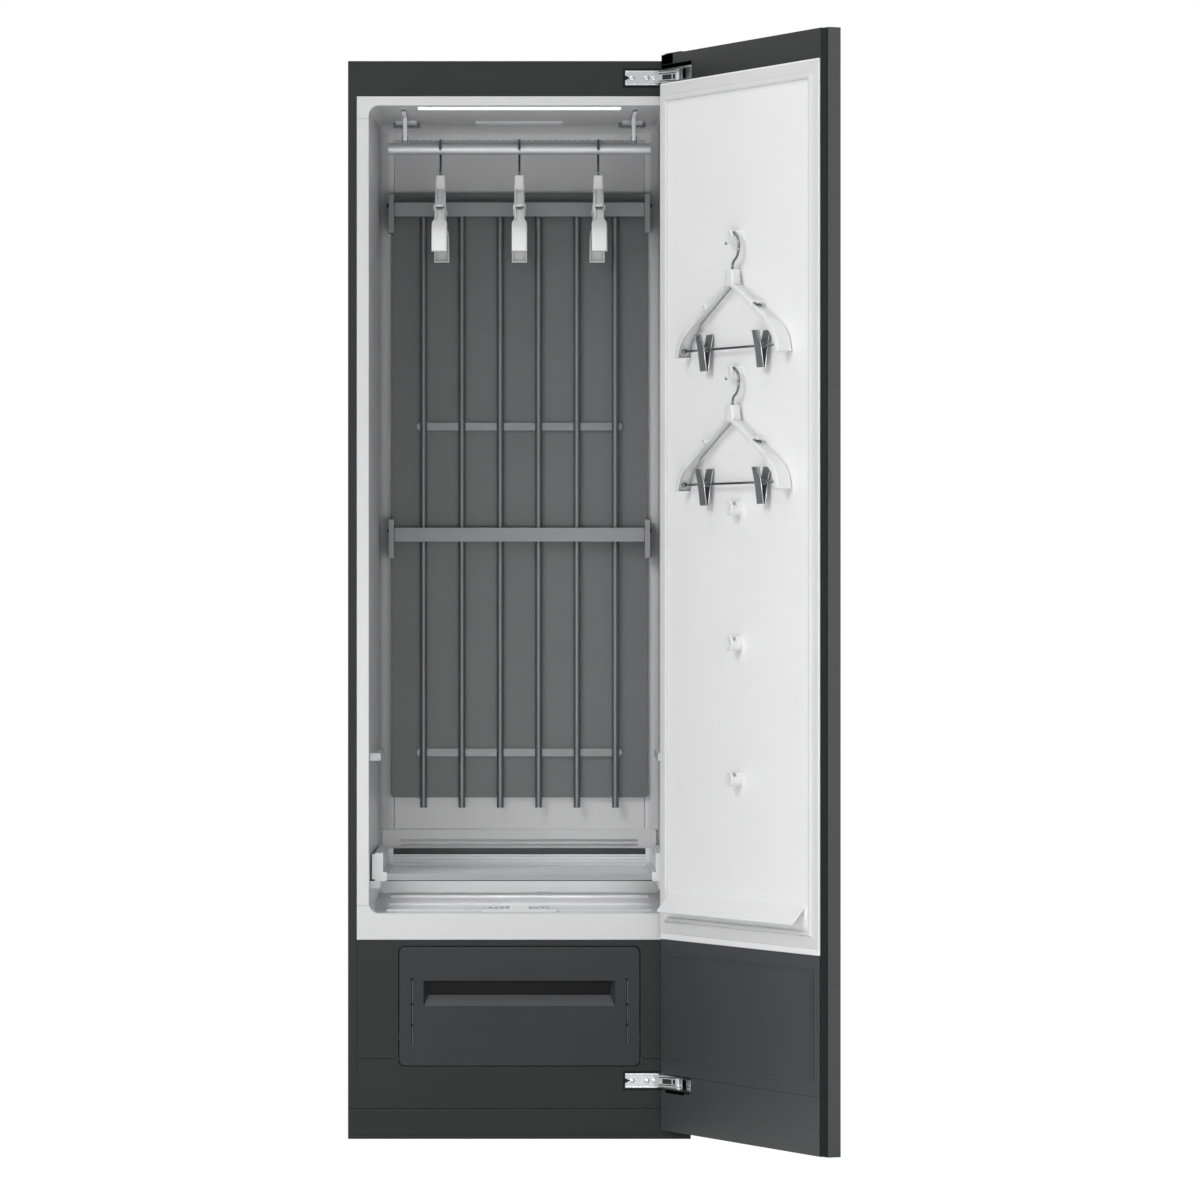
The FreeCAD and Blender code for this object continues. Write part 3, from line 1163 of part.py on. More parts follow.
can_top = "compressor_lift + compressor_height"
compressor = [
    rod(
        "compressor_can", "z", "compressor_radius", "compressor_lift", can_top,
        "compressor_offset", "compressor_y"),
    block(
        "compressor_plate",
        ("compressor_offset - plate_half", "compressor_offset + plate_half"),
        ("compressor_y - plate_half", "compressor_y + plate_half"),
        ("compressor_lift - plate_thick", "compressor_lift + 0.5")),
    rod(
        "suction_pipe", "z", "suction_radius", f"{can_top} - 5", f"{can_top} + suction_rise",
        "compressor_offset + suction_offset", "compressor_y"),
    rod(
        "suction_run", "y", "suction_radius", "compressor_y - 70", "compressor_y",
        "compressor_offset + suction_offset", f"{can_top} + suction_rise"),
    rod(
        "delivery_pipe", "z", "delivery_radius", f"{can_top} - 5",
        f"{can_top} + delivery_rise", "compressor_offset + delivery_offset",
        "compressor_y - 10"),
]
for i, (u, v) in enumerate(((-1, -1), (1, -1), (1, 1), (-1, 1))):
    compressor.append(rod(
        f"compressor_foot_{i + 1}", "z", "foot_radius", "base_sheet",
        "compressor_lift - plate_thick + 1", f"compressor_offset + {u} * foot_offset",
        f"compressor_y + {v} * foot_offset"))
node("compressor", fuse("compressor_full", *compressor))

COILS, FINS, COIL_TUBES = 2, 20, 6
coils = []
for i in range(COILS):
    near = f"(liner_back - coil_front_back + {i} * coil_pitch)"
    coil_right = "coil_left + coil_width"
    frame = block(
        f"coil_{i + 1}", ("coil_left", coil_right), (near, f"{near} + coil_thick"),
        ("base_sheet", "coil_top"))
    room = block(
        f"coil_room_{i + 1}", ("coil_left + coil_rim", f"{coil_right} - coil_rim"),
        (f"{near} - 1", f"{near} + coil_thick + 1"), ("coil_floor", "coil_top - coil_rim"))
    fins = [cut(f"coil_frame_{i + 1}", frame, room)]
    for j in range(FINS):
        x = f"coil_left + coil_rim + {j + 0.5} * (coil_width - 2 * coil_rim) / {FINS}"
        fins.append(block(
            f"fin_{i + 1}_{j + 1}", (x, f"{x} + fin_thick"),
            (f"{near} + fin_inset", f"{near} + coil_thick - fin_inset"),
            ("coil_floor - 1", "coil_top - coil_rim + 1")))
    for j in range(COIL_TUBES):
        fins.append(rod(
            f"coil_tube_{i + 1}_{j + 1}", "x", "coil_tube_radius", "coil_left + 5",
            f"{coil_right} - 5", f"{near} + coil_thick / 2",
            f"coil_tube_low + {j} * coil_tube_pitch"))
    coils.append(fuse(f"coil_full_{i + 1}", *fins))
node("heat_exchangers", group("coils", *coils))


def boiler_rod(name, radius, low, high):
    """A cylinder on the boiler's own axis."""
    return rod(name, "z", radius, low, high, "boiler_offset", "boiler_y")


boiler_leg = block(
    "boiler_stand", ("boiler_offset - boiler_leg", "boiler_offset + boiler_leg"),
    ("boiler_y - boiler_leg", "boiler_y + boiler_leg"), ("base_sheet", "boiler_low + 1"))
tip = boiler_rod("steam_tip", "steam_tip_radius", "rear_floor - 5", "rear_floor + steam_tip_rise")
node("steam_boiler", fuse(
    "boiler", boiler_rod("boiler_can", "boiler_radius", "boiler_low", "boiler_low + boiler_length"),
    boiler_leg, boiler_rod("steam_pipe", "steam_radius", "boiler_low + boiler_length - 1", "rear_floor"),
    common("tip_fit", tip, cavity)))

PUMPS = 2
pumps = []
for i in range(PUMPS):
    y = f"liner_back - pump_back + {i} * pump_pitch"
    pumps.append(fuse(
        f"pump_{i + 1}",
        rod(f"pump_can_{i + 1}", "z", "pump_radius", "base_sheet", "pump_height", "pump_offset", y),
        rod(
            f"pump_port_{i + 1}", "z", "port_radius", "pump_height - 1",
            "pump_height + port_rise", "pump_offset + 5", y),
        rod(
            f"pump_inlet_{i + 1}", "x", "port_radius", "pump_offset - port_reach",
            "pump_offset", y, "port_height")))
node("water_pumps", group("pump_pair", *pumps))

case_floor = "opening_top + liner_wall"
case_y = ("front + case_front_in", "front + case_front_in + case_depth")
room_y = (f"{case_y[0]} + case_wall", f"{case_y[1]} - case_wall")
case = wide("control_case", "case_width / 2", case_y, (case_floor, f"{case_floor} + case_height"))
case_room = wide("control_room", "case_width / 2 - case_wall", room_y, (
    f"{case_floor} + case_wall", f"{case_floor} + case_height - case_wall"))
circuit = wide("circuit", "case_width / 2 - case_wall", room_y, (
    f"{case_floor} + circuit_lift", f"{case_floor} + circuit_lift + circuit_thick"))
node("control_board", fuse("control", cut("control_shell", case, case_room), circuit))

# ------------------------------------------------------------------ export

doc.removeObject(probe.Name)
doc.recompute()
os.makedirs("parts", exist_ok=True)
for thing in NODES:
    if "Invalid" in thing.State or not thing.Shape.isValid():
        raise RuntimeError(f"{thing.Label} did not build")
    thing.Shape.exportStep(f"parts/{thing.Label}.step")
print(len(NODES), "pieces")
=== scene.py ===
# %% [markdown]
# # A clothes care steam cabinet
# This lesson dresses a clothes care cabinet whose shape is already fixed by a CAD model. The
# cabinet is a tall steel casing with a white heated cavity, a door that stands open, a press
# board for trousers, a shelf and a drawer that holds two water tanks. The CAD solids keep
# their places. Here each one gets the finish of the real material, and the small pieces that
# a solid model leaves out are made as meshes.

# %% Load the fixed model
import json
import math

import bmesh
import bpy
from mathutils import Matrix, Vector


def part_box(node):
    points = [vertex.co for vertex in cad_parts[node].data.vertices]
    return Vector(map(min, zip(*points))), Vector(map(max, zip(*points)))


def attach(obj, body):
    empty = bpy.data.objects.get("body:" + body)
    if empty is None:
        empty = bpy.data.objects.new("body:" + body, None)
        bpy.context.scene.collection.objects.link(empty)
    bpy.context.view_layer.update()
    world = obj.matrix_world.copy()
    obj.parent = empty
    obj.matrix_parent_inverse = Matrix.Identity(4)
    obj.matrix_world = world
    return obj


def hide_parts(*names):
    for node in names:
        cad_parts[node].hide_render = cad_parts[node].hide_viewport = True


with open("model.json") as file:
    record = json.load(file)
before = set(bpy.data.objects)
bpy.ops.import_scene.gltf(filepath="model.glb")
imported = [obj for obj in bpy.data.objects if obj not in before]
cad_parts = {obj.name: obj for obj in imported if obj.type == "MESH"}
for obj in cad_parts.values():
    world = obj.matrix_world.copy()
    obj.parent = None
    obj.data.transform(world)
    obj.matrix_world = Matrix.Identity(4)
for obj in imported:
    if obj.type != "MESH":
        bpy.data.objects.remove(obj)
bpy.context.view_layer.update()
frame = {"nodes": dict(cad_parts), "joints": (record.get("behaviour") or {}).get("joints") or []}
solids = frame["nodes"]
joints = {joint["name"]: joint for joint in frame["joints"]}

# %% [markdown]
# ## Places
# Everything here is worked out from the boxes of the solids. The door stands open, so a
# piece on it is easiest to make as if the door were shut, flat and square to the axes, and
# then swung open about the hinge line. The closed door lies across X with its inner face
# towards +Y.

# %% Measure the main solids
MM = 0.001


def mm(points):
    """Points that are written in millimetres, turned into metres."""
    return [tuple(value * MM for value in point) for point in points]


def size_of(name):
    """The low corner, the high corner and the size of a solid."""
    low, high = (Vector(corner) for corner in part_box(name))
    return low, high, high - low


hinge_line = Vector(joints["door_hinge"]["pos_m"])
door_swing = -math.radians(joints["door_hinge"]["range_deg"][0])
open_door = (
    Matrix.Translation(hinge_line) @ Matrix.Rotation(door_swing, 4, "Z")
    @ Matrix.Translation(-hinge_line))
shut_door = open_door.inverted()


def shut_size_of(name):
    """The same for a solid of the door, measured as it lies with the door shut."""
    spots = [shut_door @ corner.co for corner in solids[name].data.vertices]
    low = Vector([min(spot[i] for spot in spots) for i in range(3)])
    high = Vector([max(spot[i] for spot in spots) for i in range(3)])
    return low, high, high - low


wrapper_low, _, wrapper_size = size_of("outer_wrapper")
front = wrapper_low.y
print("casing", [round(x, 3) for x in wrapper_size], "door opens", round(math.degrees(door_swing)))

# %% [markdown]
# ## Camera
# A long lens far away keeps upright lines upright, which suits a tall cabinet. The view is
# from straight ahead, and a small sideways shift puts the cabinet left of the middle so that
# the open door has room on the right.

# %% Set up the camera
CAMERA_DISTANCE = 11.1
CAMERA_HEIGHT = 0.9355
FILM_WIDTH = 36
PIXELS_PER_METRE = 576.1
IMAGE_WIDTH = 1200
CABINET_CENTRE_PIXEL = 519.4

camera_data = bpy.data.cameras.new("studio_camera")
camera_data.sensor_width = FILM_WIDTH
camera_data.lens = PIXELS_PER_METRE * CAMERA_DISTANCE / IMAGE_WIDTH * FILM_WIDTH
camera_data.shift_x = 0.5 - CABINET_CENTRE_PIXEL / IMAGE_WIDTH
camera_data.clip_end = 100
camera = bpy.data.objects.new("studio_camera", camera_data)
camera.location = (0, front - CAMERA_DISTANCE, CAMERA_HEIGHT)
camera.rotation_euler = (math.radians(90), 0, 0)
bpy.context.scene.collection.objects.link(camera)
bpy.context.scene.camera = camera
bpy.context.scene.view_settings.view_transform = "Standard"
print("lens", round(camera_data.lens, 1), "mm")

# %% [markdown]
# ## Node helpers
# A procedural material is a small graph of nodes. One helper adds a node with its settings
# and links, and another turns a hex colour, as a painter's chart gives it, into the linear
# numbers that the shader works with.

# %% Colour and node helpers


def linear(hex_colour):
    """A hex colour as linear red, green, blue and alpha."""
    parts = [int(hex_colour[i:i + 2], 16) / 255 for i in (1, 3, 5)]
    curve = [c / 12.92 if c <= 0.04045 else ((c + 0.055) / 1.055) ** 2.4 for c in parts]
    return (*curve, 1)


def add_node(tree, kind, links=None, **settings):
    """One node with its settings and the outputs that feed it."""
    made = tree.nodes.new(kind)
    for word, value in settings.items():
        setattr(made, word, value)
    for socket, source in (links or {}).items():
        if isinstance(source, bpy.types.NodeSocket):
            tree.links.new(source, made.inputs[socket])
        else:
            made.inputs[socket].default_value = source
    return made


def new_material(name):
    """An empty material, its tree and its shader."""
    made = bpy.data.materials.new(name)
    made.use_nodes = True
    tree = made.node_tree
    return made, tree, tree.nodes["Principled BSDF"]


def two_tone(tree, pattern, dark, light):
    """A colour that goes from dark to light as a pattern rises."""
    ramp = add_node(tree, "ShaderNodeValToRGB", {"Fac": pattern})
    ramp.color_ramp.elements[0].color = linear(dark)
    ramp.color_ramp.elements[1].color = linear(light)
    return ramp.outputs["Color"]


def grain(tree, size_mm, detail=3, stretch=(1, 1, 1)):
    """Noise whose grains have a real size, longer along an axis where stretch is small."""
    place = add_node(tree, "ShaderNodeTexCoord")
    scaled = add_node(
        tree, "ShaderNodeMapping", {"Vector": place.outputs["Object"], "Scale": stretch})
    return add_node(tree, "ShaderNodeTexNoise", {
        "Vector": scaled.outputs["Vector"], "Scale": 1 / (size_mm * MM), "Detail": detail})


def relief(tree, height, depth_mm, soft_edge_mm):
    """A bump of a real depth over edges that are slightly rounded."""
    edge = add_node(tree, "ShaderNodeBevel", {"Radius": soft_edge_mm * MM}, samples=4)
    return add_node(tree, "ShaderNodeBump", {
        "Height": height, "Distance": depth_mm * MM, "Strength": 1.0,
        "Normal": edge.outputs["Normal"]}).outputs["Normal"]


CLOUD_MM = 120
PAINTED_SHADE_TONE = 0.5


def finish(name, dark, light, roughness, spread, size_mm, depth_mm, **shader):
    """A surface with slight changes of tone and gloss, a fine relief and painted shade in its
    recesses.
    """
    made, tree, surface = new_material(name)
    stretch = shader.pop("stretch", (1, 1, 1))
    edge = shader.pop("edge", 0.8)
    recess_mm = shader.pop("recess_mm", 0)
    recess_tone = shader.pop("recess_tone", PAINTED_SHADE_TONE)
    cloud = grain(tree, CLOUD_MM, 2)
    fine = grain(tree, size_mm, stretch=stretch)
    colour = two_tone(tree, cloud.outputs["Fac"], dark, light)
    # Painted shade: the colour is darkened where the surface's own hollows lie in shade.
    if recess_mm:
        open_share = add_node(
            tree, "ShaderNodeAmbientOcclusion", {"Distance": recess_mm * MM}, samples=8,
            only_local=True)
        tone = add_node(tree, "ShaderNodeMapRange", {
            "Value": open_share.outputs["AO"], "To Min": recess_tone, "To Max": 1.0})
        colour = add_node(tree, "ShaderNodeVectorMath", {
            "Vector": colour, "Scale": tone.outputs["Result"]}, operation="SCALE").outputs[0]
    tree.links.new(colour, surface.inputs["Base Color"])
    gloss = add_node(tree, "ShaderNodeMapRange", {
        "Value": fine.outputs["Fac"], "To Min": roughness - spread, "To Max": roughness + spread})
    tree.links.new(gloss.outputs["Result"], surface.inputs["Roughness"])
    tree.links.new(relief(tree, fine.outputs["Fac"], depth_mm, edge), surface.inputs["Normal"])
    for word, value in shader.items():
        surface.inputs[word.replace("_", " ").title().replace("Ior", "IOR")].default_value = value
    return made


# %% [markdown]
# ## Finishes
# Each finish is named for what the piece is made of and how its surface was made. The tones
# of one finish lie close together, as paint and moulded plastic do, and the relief is only a
# few hundredths of a millimetre deep, so it shows as a change in gloss more than as bumps.

# %% Painted steel
# Powder coat dries with a fine orange peel. Its real pitch, near 1 mm, is drawn at 2 mm so
# that it shows.
powder_coated_steel = finish(
    "powder_coated_steel", "#2c2d2d", "#303131", 0.5, 0.04, 2.0, 0.02, specular_ior_level=0.15)
# The door's outer skin is sprayed and baked, a touch smoother and lighter than the casing.
painted_door = finish(
    "painted_door", "#434445", "#484949", 0.44, 0.03, 2.0, 0.015, specular_ior_level=0.3)

# %% Moulded plastics
# The drawer's face is moulded, and its grain scatters more light than the paint beside it.
drawer_abs = finish(
    "drawer_abs", "#353637", "#393a3b", 0.5, 0.05, 1.2, 0.03, specular_ior_level=0.15)
# Dark ABS trim is moulded in a spark-eroded tool, which leaves a matt grain.
dark_abs = finish("dark_abs", "#121314", "#161718", 0.5, 0.05, 1.2, 0.03, specular_ior_level=0.2)
cover_abs = finish(
    "cover_abs", "#3c3d3e", "#424344", 0.46, 0.05, 1.2, 0.03, specular_ior_level=0.3)
# Painted light: this paler grey lines the grip's ramp, where light from above falls.
grip_light_abs = finish(
    "grip_light_abs", "#4c4d4e", "#525354", 0.55, 0.05, 1.2, 0.03, specular_ior_level=0.25)
# Nearly black nylon wears well. Pivot caps and the dots on the drawer are made of it. The
# same black is painted shade in the drawer's slits, on the grip's rear wall and round the hinge
# arms.
black_nylon_and_shade = finish(
    "black_nylon_and_shade", "#060607", "#0b0b0c", 0.5, 0.06, 1.5, 0.03, specular_ior_level=0.15)
# Painted shade: a flat black with no gloss fills the gaps round the hinges, where only shade shows.
gap_shade = finish("gap_shade", "#020202", "#050505", 0.9, 0.05, 1.5, 0.03, specular_ior_level=0.0)
# The cavity liner is glossy polystyrene, vacuum formed over a polished tool.
formed_liner = finish("formed_liner", "#cfcfd0", "#d3d3d4", 0.3, 0.04, 24, 0.006)
door_liner_sheet = finish("door_liner_sheet", "#f3f3f4", "#f7f7f7", 0.4, 0.03, 24, 0.006)
# White polypropylene hangers have a soft waxy gloss. Painted shade darkens their hollows.
white_polypropylene = finish(
    "white_polypropylene", "#e2e2e3", "#eaeaea", 0.36, 0.04, 3, 0.02, edge=0.4, recess_mm=24,
    recess_tone=0.25)
# Grey mouldings of the shelf and the clamps are glossy ABS.
# The shelf's front rail gets painted shade in its grooves.
rail_abs = finish(
    "rail_abs", "#a4a5a6", "#acadae", 0.3, 0.04, 2, 0.02, edge=0.3, recess_mm=3)
# Painted shade: the rod's brackets are a darker grey than their plastic, round the paler bars.
bracket_shade_abs = finish("bracket_shade_abs", "#8e8f90", "#979899", 0.4, 0.05, 2, 0.02, edge=0.5)
# The shelf tray and its ribs get painted shade in their hollows.
moulded_abs = finish(
    "moulded_abs", "#dfe0e1", "#e6e7e8", 0.3, 0.05, 2, 0.02, edge=0.6, recess_mm=10)
clamp_abs = finish("clamp_abs", "#88898a", "#929394", 0.34, 0.05, 2, 0.02)
board_abs = finish("board_abs", "#5e5f60", "#656667", 0.42, 0.05, 1.5, 0.03)
# The seal is extruded soft vinyl, matt because it is filled with chalk.
seal_vinyl = finish("seal_vinyl", "#d8d8d9", "#e0e0e0", 0.6, 0.05, 2, 0.02, edge=0.4)

# %% Metals
# Clear anodising keeps aluminium's colour and takes a fine drawn line along the bar.
anodised_aluminium = finish(
    "anodised_aluminium", "#d0d1d2", "#dadbdc", 0.56, 0.05, 1.2, 0.01,
    metallic=0.8, stretch=(0.05, 1, 1))
drawn_tube = finish(
    "drawn_tube", "#6c6d6e", "#797a7b", 0.42, 0.06, 1.2, 0.01, metallic=0.6, stretch=(1, 1, 0.05))
# Bright chrome over nickel mirrors its surroundings, with only a trace of polishing marks.
chrome_wire = finish(
    "chrome_wire", "#6e6f70", "#838485", 0.14, 0.05, 3, 0.01, metallic=1.0, edge=0.2)
nickel_plate = finish(
    "nickel_plate", "#b2b3b4", "#c6c6c7", 0.22, 0.08, 4, 0.02, metallic=1.0, edge=0.6)
# The core between the hinge's cheeks is blackened under a clear coat, so it still shines.
dark_steel = finish("dark_steel", "#2e2e2f", "#3b3b3c", 0.3, 0.08, 3, 0.02, metallic=0.8)
zinc_sheet = finish("zinc_sheet", "#6f7275", "#83868a", 0.42, 0.12, 12, 0.02, metallic=1.0)
clip_steel = finish(
    "clip_steel", "#6c6d6e", "#7b7c7d", 0.4, 0.08, 2, 0.02, metallic=0.4, edge=0.5)
copper_coil = finish("copper_coil", "#a8674a", "#b97a58", 0.35, 0.1, 6, 0.02, metallic=1.0)
black_enamel = finish("black_enamel", "#141516", "#1c1d1e", 0.25, 0.05, 3, 0.03)
circuit_case = finish("circuit_case", "#2f3432", "#3a403e", 0.5, 0.05, 2, 0.02)

# %% Clear and lit finishes
tank_plastic, tank_tree, tank_shader = new_material("tank_polycarbonate")
tank_shader.inputs["Base Color"].default_value = linear("#b6bcc2")
tank_shader.inputs["Transmission Weight"].default_value = 0.85
tank_shader.inputs["IOR"].default_value = 1.585
tank_cloud = grain(tank_tree, 20)
tank_gloss = add_node(tank_tree, "ShaderNodeMapRange", {
    "Value": tank_cloud.outputs["Fac"], "To Min": 0.08, "To Max": 0.16})
tank_tree.links.new(tank_gloss.outputs["Result"], tank_shader.inputs["Roughness"])

diffuser, diffuser_tree, diffuser_shader = new_material("lit_diffuser")
diffuser_shader.inputs["Base Color"].default_value = linear("#f4f4f2")
diffuser_shader.inputs["Emission Color"].default_value = linear("#ffffff")
diffuser_shader.inputs["Emission Strength"].default_value = 1.05
diffuser_cloud = grain(diffuser_tree, 3)
diffuser_gloss = add_node(diffuser_tree, "ShaderNodeMapRange", {
    "Value": diffuser_cloud.outputs["Fac"], "To Min": 0.45, "To Max": 0.6})
diffuser_tree.links.new(diffuser_gloss.outputs["Result"], diffuser_shader.inputs["Roughness"])
print(len(bpy.data.materials), "finishes")

# %% [markdown]
# ## One finish for every solid
# The table below says what each solid of the model is made of. A solid that a finer mesh will
# stand for still gets its finish, because the same material is used again on that mesh.

# %% Give every solid its finish
HANDS = ("left", "right")
FINISHES = {
    powder_coated_steel: (
        "outer_wrapper", "top_fascia", "upper_fascia", "lower_fascia", "kick_plate", "base_pan"),
    drawer_abs: ("drawer_front",),
    painted_door: ("door_panel",),
    dark_abs: ("door_frame", "door_top_cap", "fan_impeller"),
    cover_abs: ("door_lower_cover",),
    formed_liner: (
        "ceiling_liner", "wall_liner", "floor_basin", "rear_grille", "shelf_supports",
        "tank_bay", "fan_scroll", "rear_duct", "drawer_tray", "floor_filter"),
    door_liner_sheet: ("door_liner", "door_deflector"),
    bracket_shade_abs: ("rod_brackets",),
    white_polypropylene: (
        "coat_hanger_1", "coat_hanger_2", "coat_hanger_3", "trouser_hanger_1",
        "trouser_hanger_2"),
    moulded_abs: ("door_hooks", "shelf_tray"),
    clamp_abs: ("clamp_brackets", "upper_clamp_bar", "middle_clamp_bar", "notch_strip"),
    board_abs: ("press_board",),
    seal_vinyl: ("door_gasket",),
    anodised_aluminium: ("hanger_rod",),
    drawn_tube: ("press_rack",),
    nickel_plate: ("hinge_arms", "hinge_cups", "steam_boiler"),
    zinc_sheet: ("back_panel", "fan_motor"),
    clip_steel: tuple(
        f"{kind}_{i}_{hand}" for kind in ("clip", "jaw") for i in (1, 2) for hand in HANDS),
    copper_coil: ("heat_exchangers",),
    black_enamel: ("compressor", "water_pumps"),
    circuit_case: ("control_board",),
    tank_plastic: ("supply_tank", "drain_tank"),
    diffuser: ("ceiling_light",),
}
for surface, names in FINISHES.items():
    for name in names:
        solids[name].data.materials.clear()
        solids[name].data.materials.append(surface)
bare = [name for name, thing in solids.items() if not thing.data.materials]
print("solids without a finish:", bare)

# %% [markdown]
# ## Mesh helpers
# The pieces below are made point by point. Rings of points are joined into a skin, which
# serves for turned knobs, bent wire and moulded arms alike. A block has its edges bevelled,
# because no moulded or folded edge is perfectly sharp, and a rounded edge is what catches
# the light.

# %% Skins, turned shapes, wires and blocks
SMOOTH_ANGLE = math.radians(32)


def skin(form, rings, joined=False):
    """Join rings of points into a surface, capped at its ends or joined end to end."""
    rows = [[form.verts.new(spot) for spot in ring] for ring in rings]
    pairs = list(zip(rows, rows[1:] + rows[:1] if joined else rows[1:]))
    for row, after in pairs:
        for i in range(len(row)):
            j = (i + 1) % len(row)
            form.faces.new((row[i], row[j], after[j], after[i]))
    if not joined:
        form.faces.new(rows[0][::-1])
        form.faces.new(rows[-1])


def turned(form, middle, axis, outline, steps=24):
    """Turn an outline of (height, radius) in millimetres about an axis through the middle."""
    axis = Vector(axis).normalized()
    side = axis.orthogonal().normalized()
    other = axis.cross(side)
    angles = [math.tau * i / steps for i in range(steps)]
    skin(form, [
        [Vector(middle) + axis * height + (side * math.cos(a) + other * math.sin(a)) * radius
         for a in angles] for height, radius in mm(outline)])


def wire(form, points, radius, across, steps=12):
    """A round wire with domed ends through points that lie in the plane across a direction."""
    points = [Vector(point) for point in points]
    across = Vector(across).normalized()
    ways = [(points[min(i + 1, len(points) - 1)] - points[max(i - 1, 0)]).normalized()
            for i in range(len(points))]
    rows = [(points[0] - ways[0] * radius * 0.8, ways[0], radius * 0.5)]
    rows += [(point, way, radius) for point, way in zip(points, ways)]
    rows.append((points[-1] + ways[-1] * radius * 0.8, ways[-1], radius * 0.5))
    skin(form, [
        [point + (across * math.cos(a) + way.cross(across) * math.sin(a)) * size
         for a in (math.tau * i / steps for i in range(steps))] for point, way, size in rows])


def cross_wire(form, half, y, z, radius):
    """A straight wire that lies across the cabinet."""
    wire(form, [(-half, y, z), (half, y, z)], radius, (0, 0, 1))


def block(form, low, high, soft=0.0):
    """A block from corner to corner whose edges are rounded by a radius."""
    low, high = Vector(low), Vector(high)
    place = Matrix.Translation((low + high) / 2) @ Matrix.Diagonal((*(high - low), 1))
    made = bmesh.ops.create_cube(form, size=1, matrix=place)
    if soft:
        edges = list({edge for corner in made["verts"] for edge in corner.link_edges})
        bmesh.ops.bevel(
            form, geom=edges, offset=soft, segments=3, profile=0.5, affect="EDGES",
            clamp_overlap=True)


def prism(form, outline, level, thick):
    """An outline of (x, y) points made into a plate between two heights."""
    skin(form, [[(x, y, z) for x, y in outline] for z in (level - thick / 2, level + thick / 2)])


def finished(name, form, material, body, place=None, stands_for=()):
    """Make a form into a smooth shaded piece that rides on a body of the model."""
    bmesh.ops.recalc_face_normals(form, faces=form.faces)
    mesh = bpy.data.meshes.new(name)
    form.to_mesh(mesh)
    form.free()
    if place is not None:
        mesh.transform(place)
    mesh.materials.append(material)
    mesh.polygons.foreach_set("use_smooth", [True] * len(mesh.polygons))
    mesh.set_sharp_from_angle(angle=SMOOTH_ANGLE)
    piece = bpy.data.objects.new(name, mesh)
    bpy.context.scene.collection.objects.link(piece)
    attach(piece, body)
    if stands_for:
        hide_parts(*stands_for)


print("helpers ready")

# %% [markdown]
# ## Hangers
# A cabinet hanger is an injection moulded arm with a C section that is open underneath, so
# that it stays light and stiff and steam can pass. It is narrow near the neck and widens at
# the shoulders to hold a jacket in shape. It is made as one skin from tip to tip, whose
# section slides along the arm and grows on the way. A plain extrusion could not widen. A
# shallow groove runs along the top of the narrow part and fades out at the shoulder.

# %% Measure the hanger
HANGER_HALF = 193 * MM
HANGER_DROP = 211 * MM
ARM_SLOPE = math.radians(27.4)
TIP_SLOPE = math.radians(84)
SHOULDER_RADIUS = 60 * MM
SHOULDER_MIDDLE = HANGER_HALF - SHOULDER_RADIUS * math.sin(TIP_SLOPE)
SHOULDER_START = 134 * MM
SHOULDER_STEP = 16 * MM
PLAIN_WIDTH = 18 * MM
SHOULDER_WIDTH = 27 * MM
PLAIN_DEPTH = 7.5 * MM
ARM_DEPTH = 12 * MM
ARM_STEPS = 12
APEX_ROUND = 14 * MM
WALL = 1.8 * MM
ROOF = 3.4 * MM
SHOULDER_FILL = 2.6 * MM
CROWN = 3 * MM
GROOVE = 1.8 * MM
WIRE_RADIUS = 2.1 * MM
CAD_WIRE = 1.75 * MM


def shoulder_share(across):
    """0 along the plain arm and 1 on the shoulder, with a smooth step between them."""
    share = min(1.0, max(0.0, (abs(across) - SHOULDER_START) / SHOULDER_STEP))
    return share * share * (3 - 2 * share)


def arm_width(across):
    """How wide the arm is at a distance from its middle."""
    return PLAIN_WIDTH + (SHOULDER_WIDTH - PLAIN_WIDTH) * shoulder_share(across)


def arm_depth(across):
    """How deep the arm is at a distance from its middle."""
    return PLAIN_DEPTH + (ARM_DEPTH - PLAIN_DEPTH) * shoulder_share(across)


def arm_line():
    """Half of the arm's outer line, from the middle to the tip: place, height and slope."""
    line = []
    bend = (SHOULDER_MIDDLE + SHOULDER_RADIUS * math.sin(ARM_SLOPE),
            SHOULDER_RADIUS * math.cos(ARM_SLOPE) - HANGER_DROP)
    for i in range(ARM_STEPS):
        u = bend[0] * i / ARM_STEPS
        rise = math.hypot(bend[0], APEX_ROUND) - math.hypot(u, APEX_ROUND)
        line.append((u, bend[1] + rise * math.tan(ARM_SLOPE), ARM_SLOPE * min(1, i / 2)))
    for i in range(ARM_STEPS + 1):
        slope = ARM_SLOPE + (TIP_SLOPE - ARM_SLOPE) * i / ARM_STEPS
        line.append((SHOULDER_MIDDLE + SHOULDER_RADIUS * math.sin(slope),
                     SHOULDER_RADIUS * math.cos(slope) - HANGER_DROP, slope))
    return line


def channel(width, depth, crown, roof=WALL, groove=0.0):
    """A C section, open underneath, with rounded upper corners and a groove along its top."""
    half = width / 2
    rim = half - crown - 0.5 * MM
    bed = rim - 1 * MM
    turns = [math.radians(a) for a in (0, 30, 60, 90)]
    right = [(half - crown + crown * math.cos(a), crown * math.sin(a) - crown) for a in turns]
    left = [(-x, y) for x, y in reversed(right)]
    inner = half - WALL
    top = [(rim, 0.0), (bed, -groove), (-bed, -groove), (-rim, 0.0)]
    return [(half, -depth), *right, *top, *left, (-half, -depth), (-inner, -depth),
            (-inner, -roof), (inner, -roof), (inner, -depth)]


def along_arm(spot, u, v, slope, section):
    """A section of the arm put at its place on the outer line."""
    out = (math.sin(slope), math.cos(slope))
    return [spot(u + out[0] * below, v + out[1] * below, across) for across, below in section]


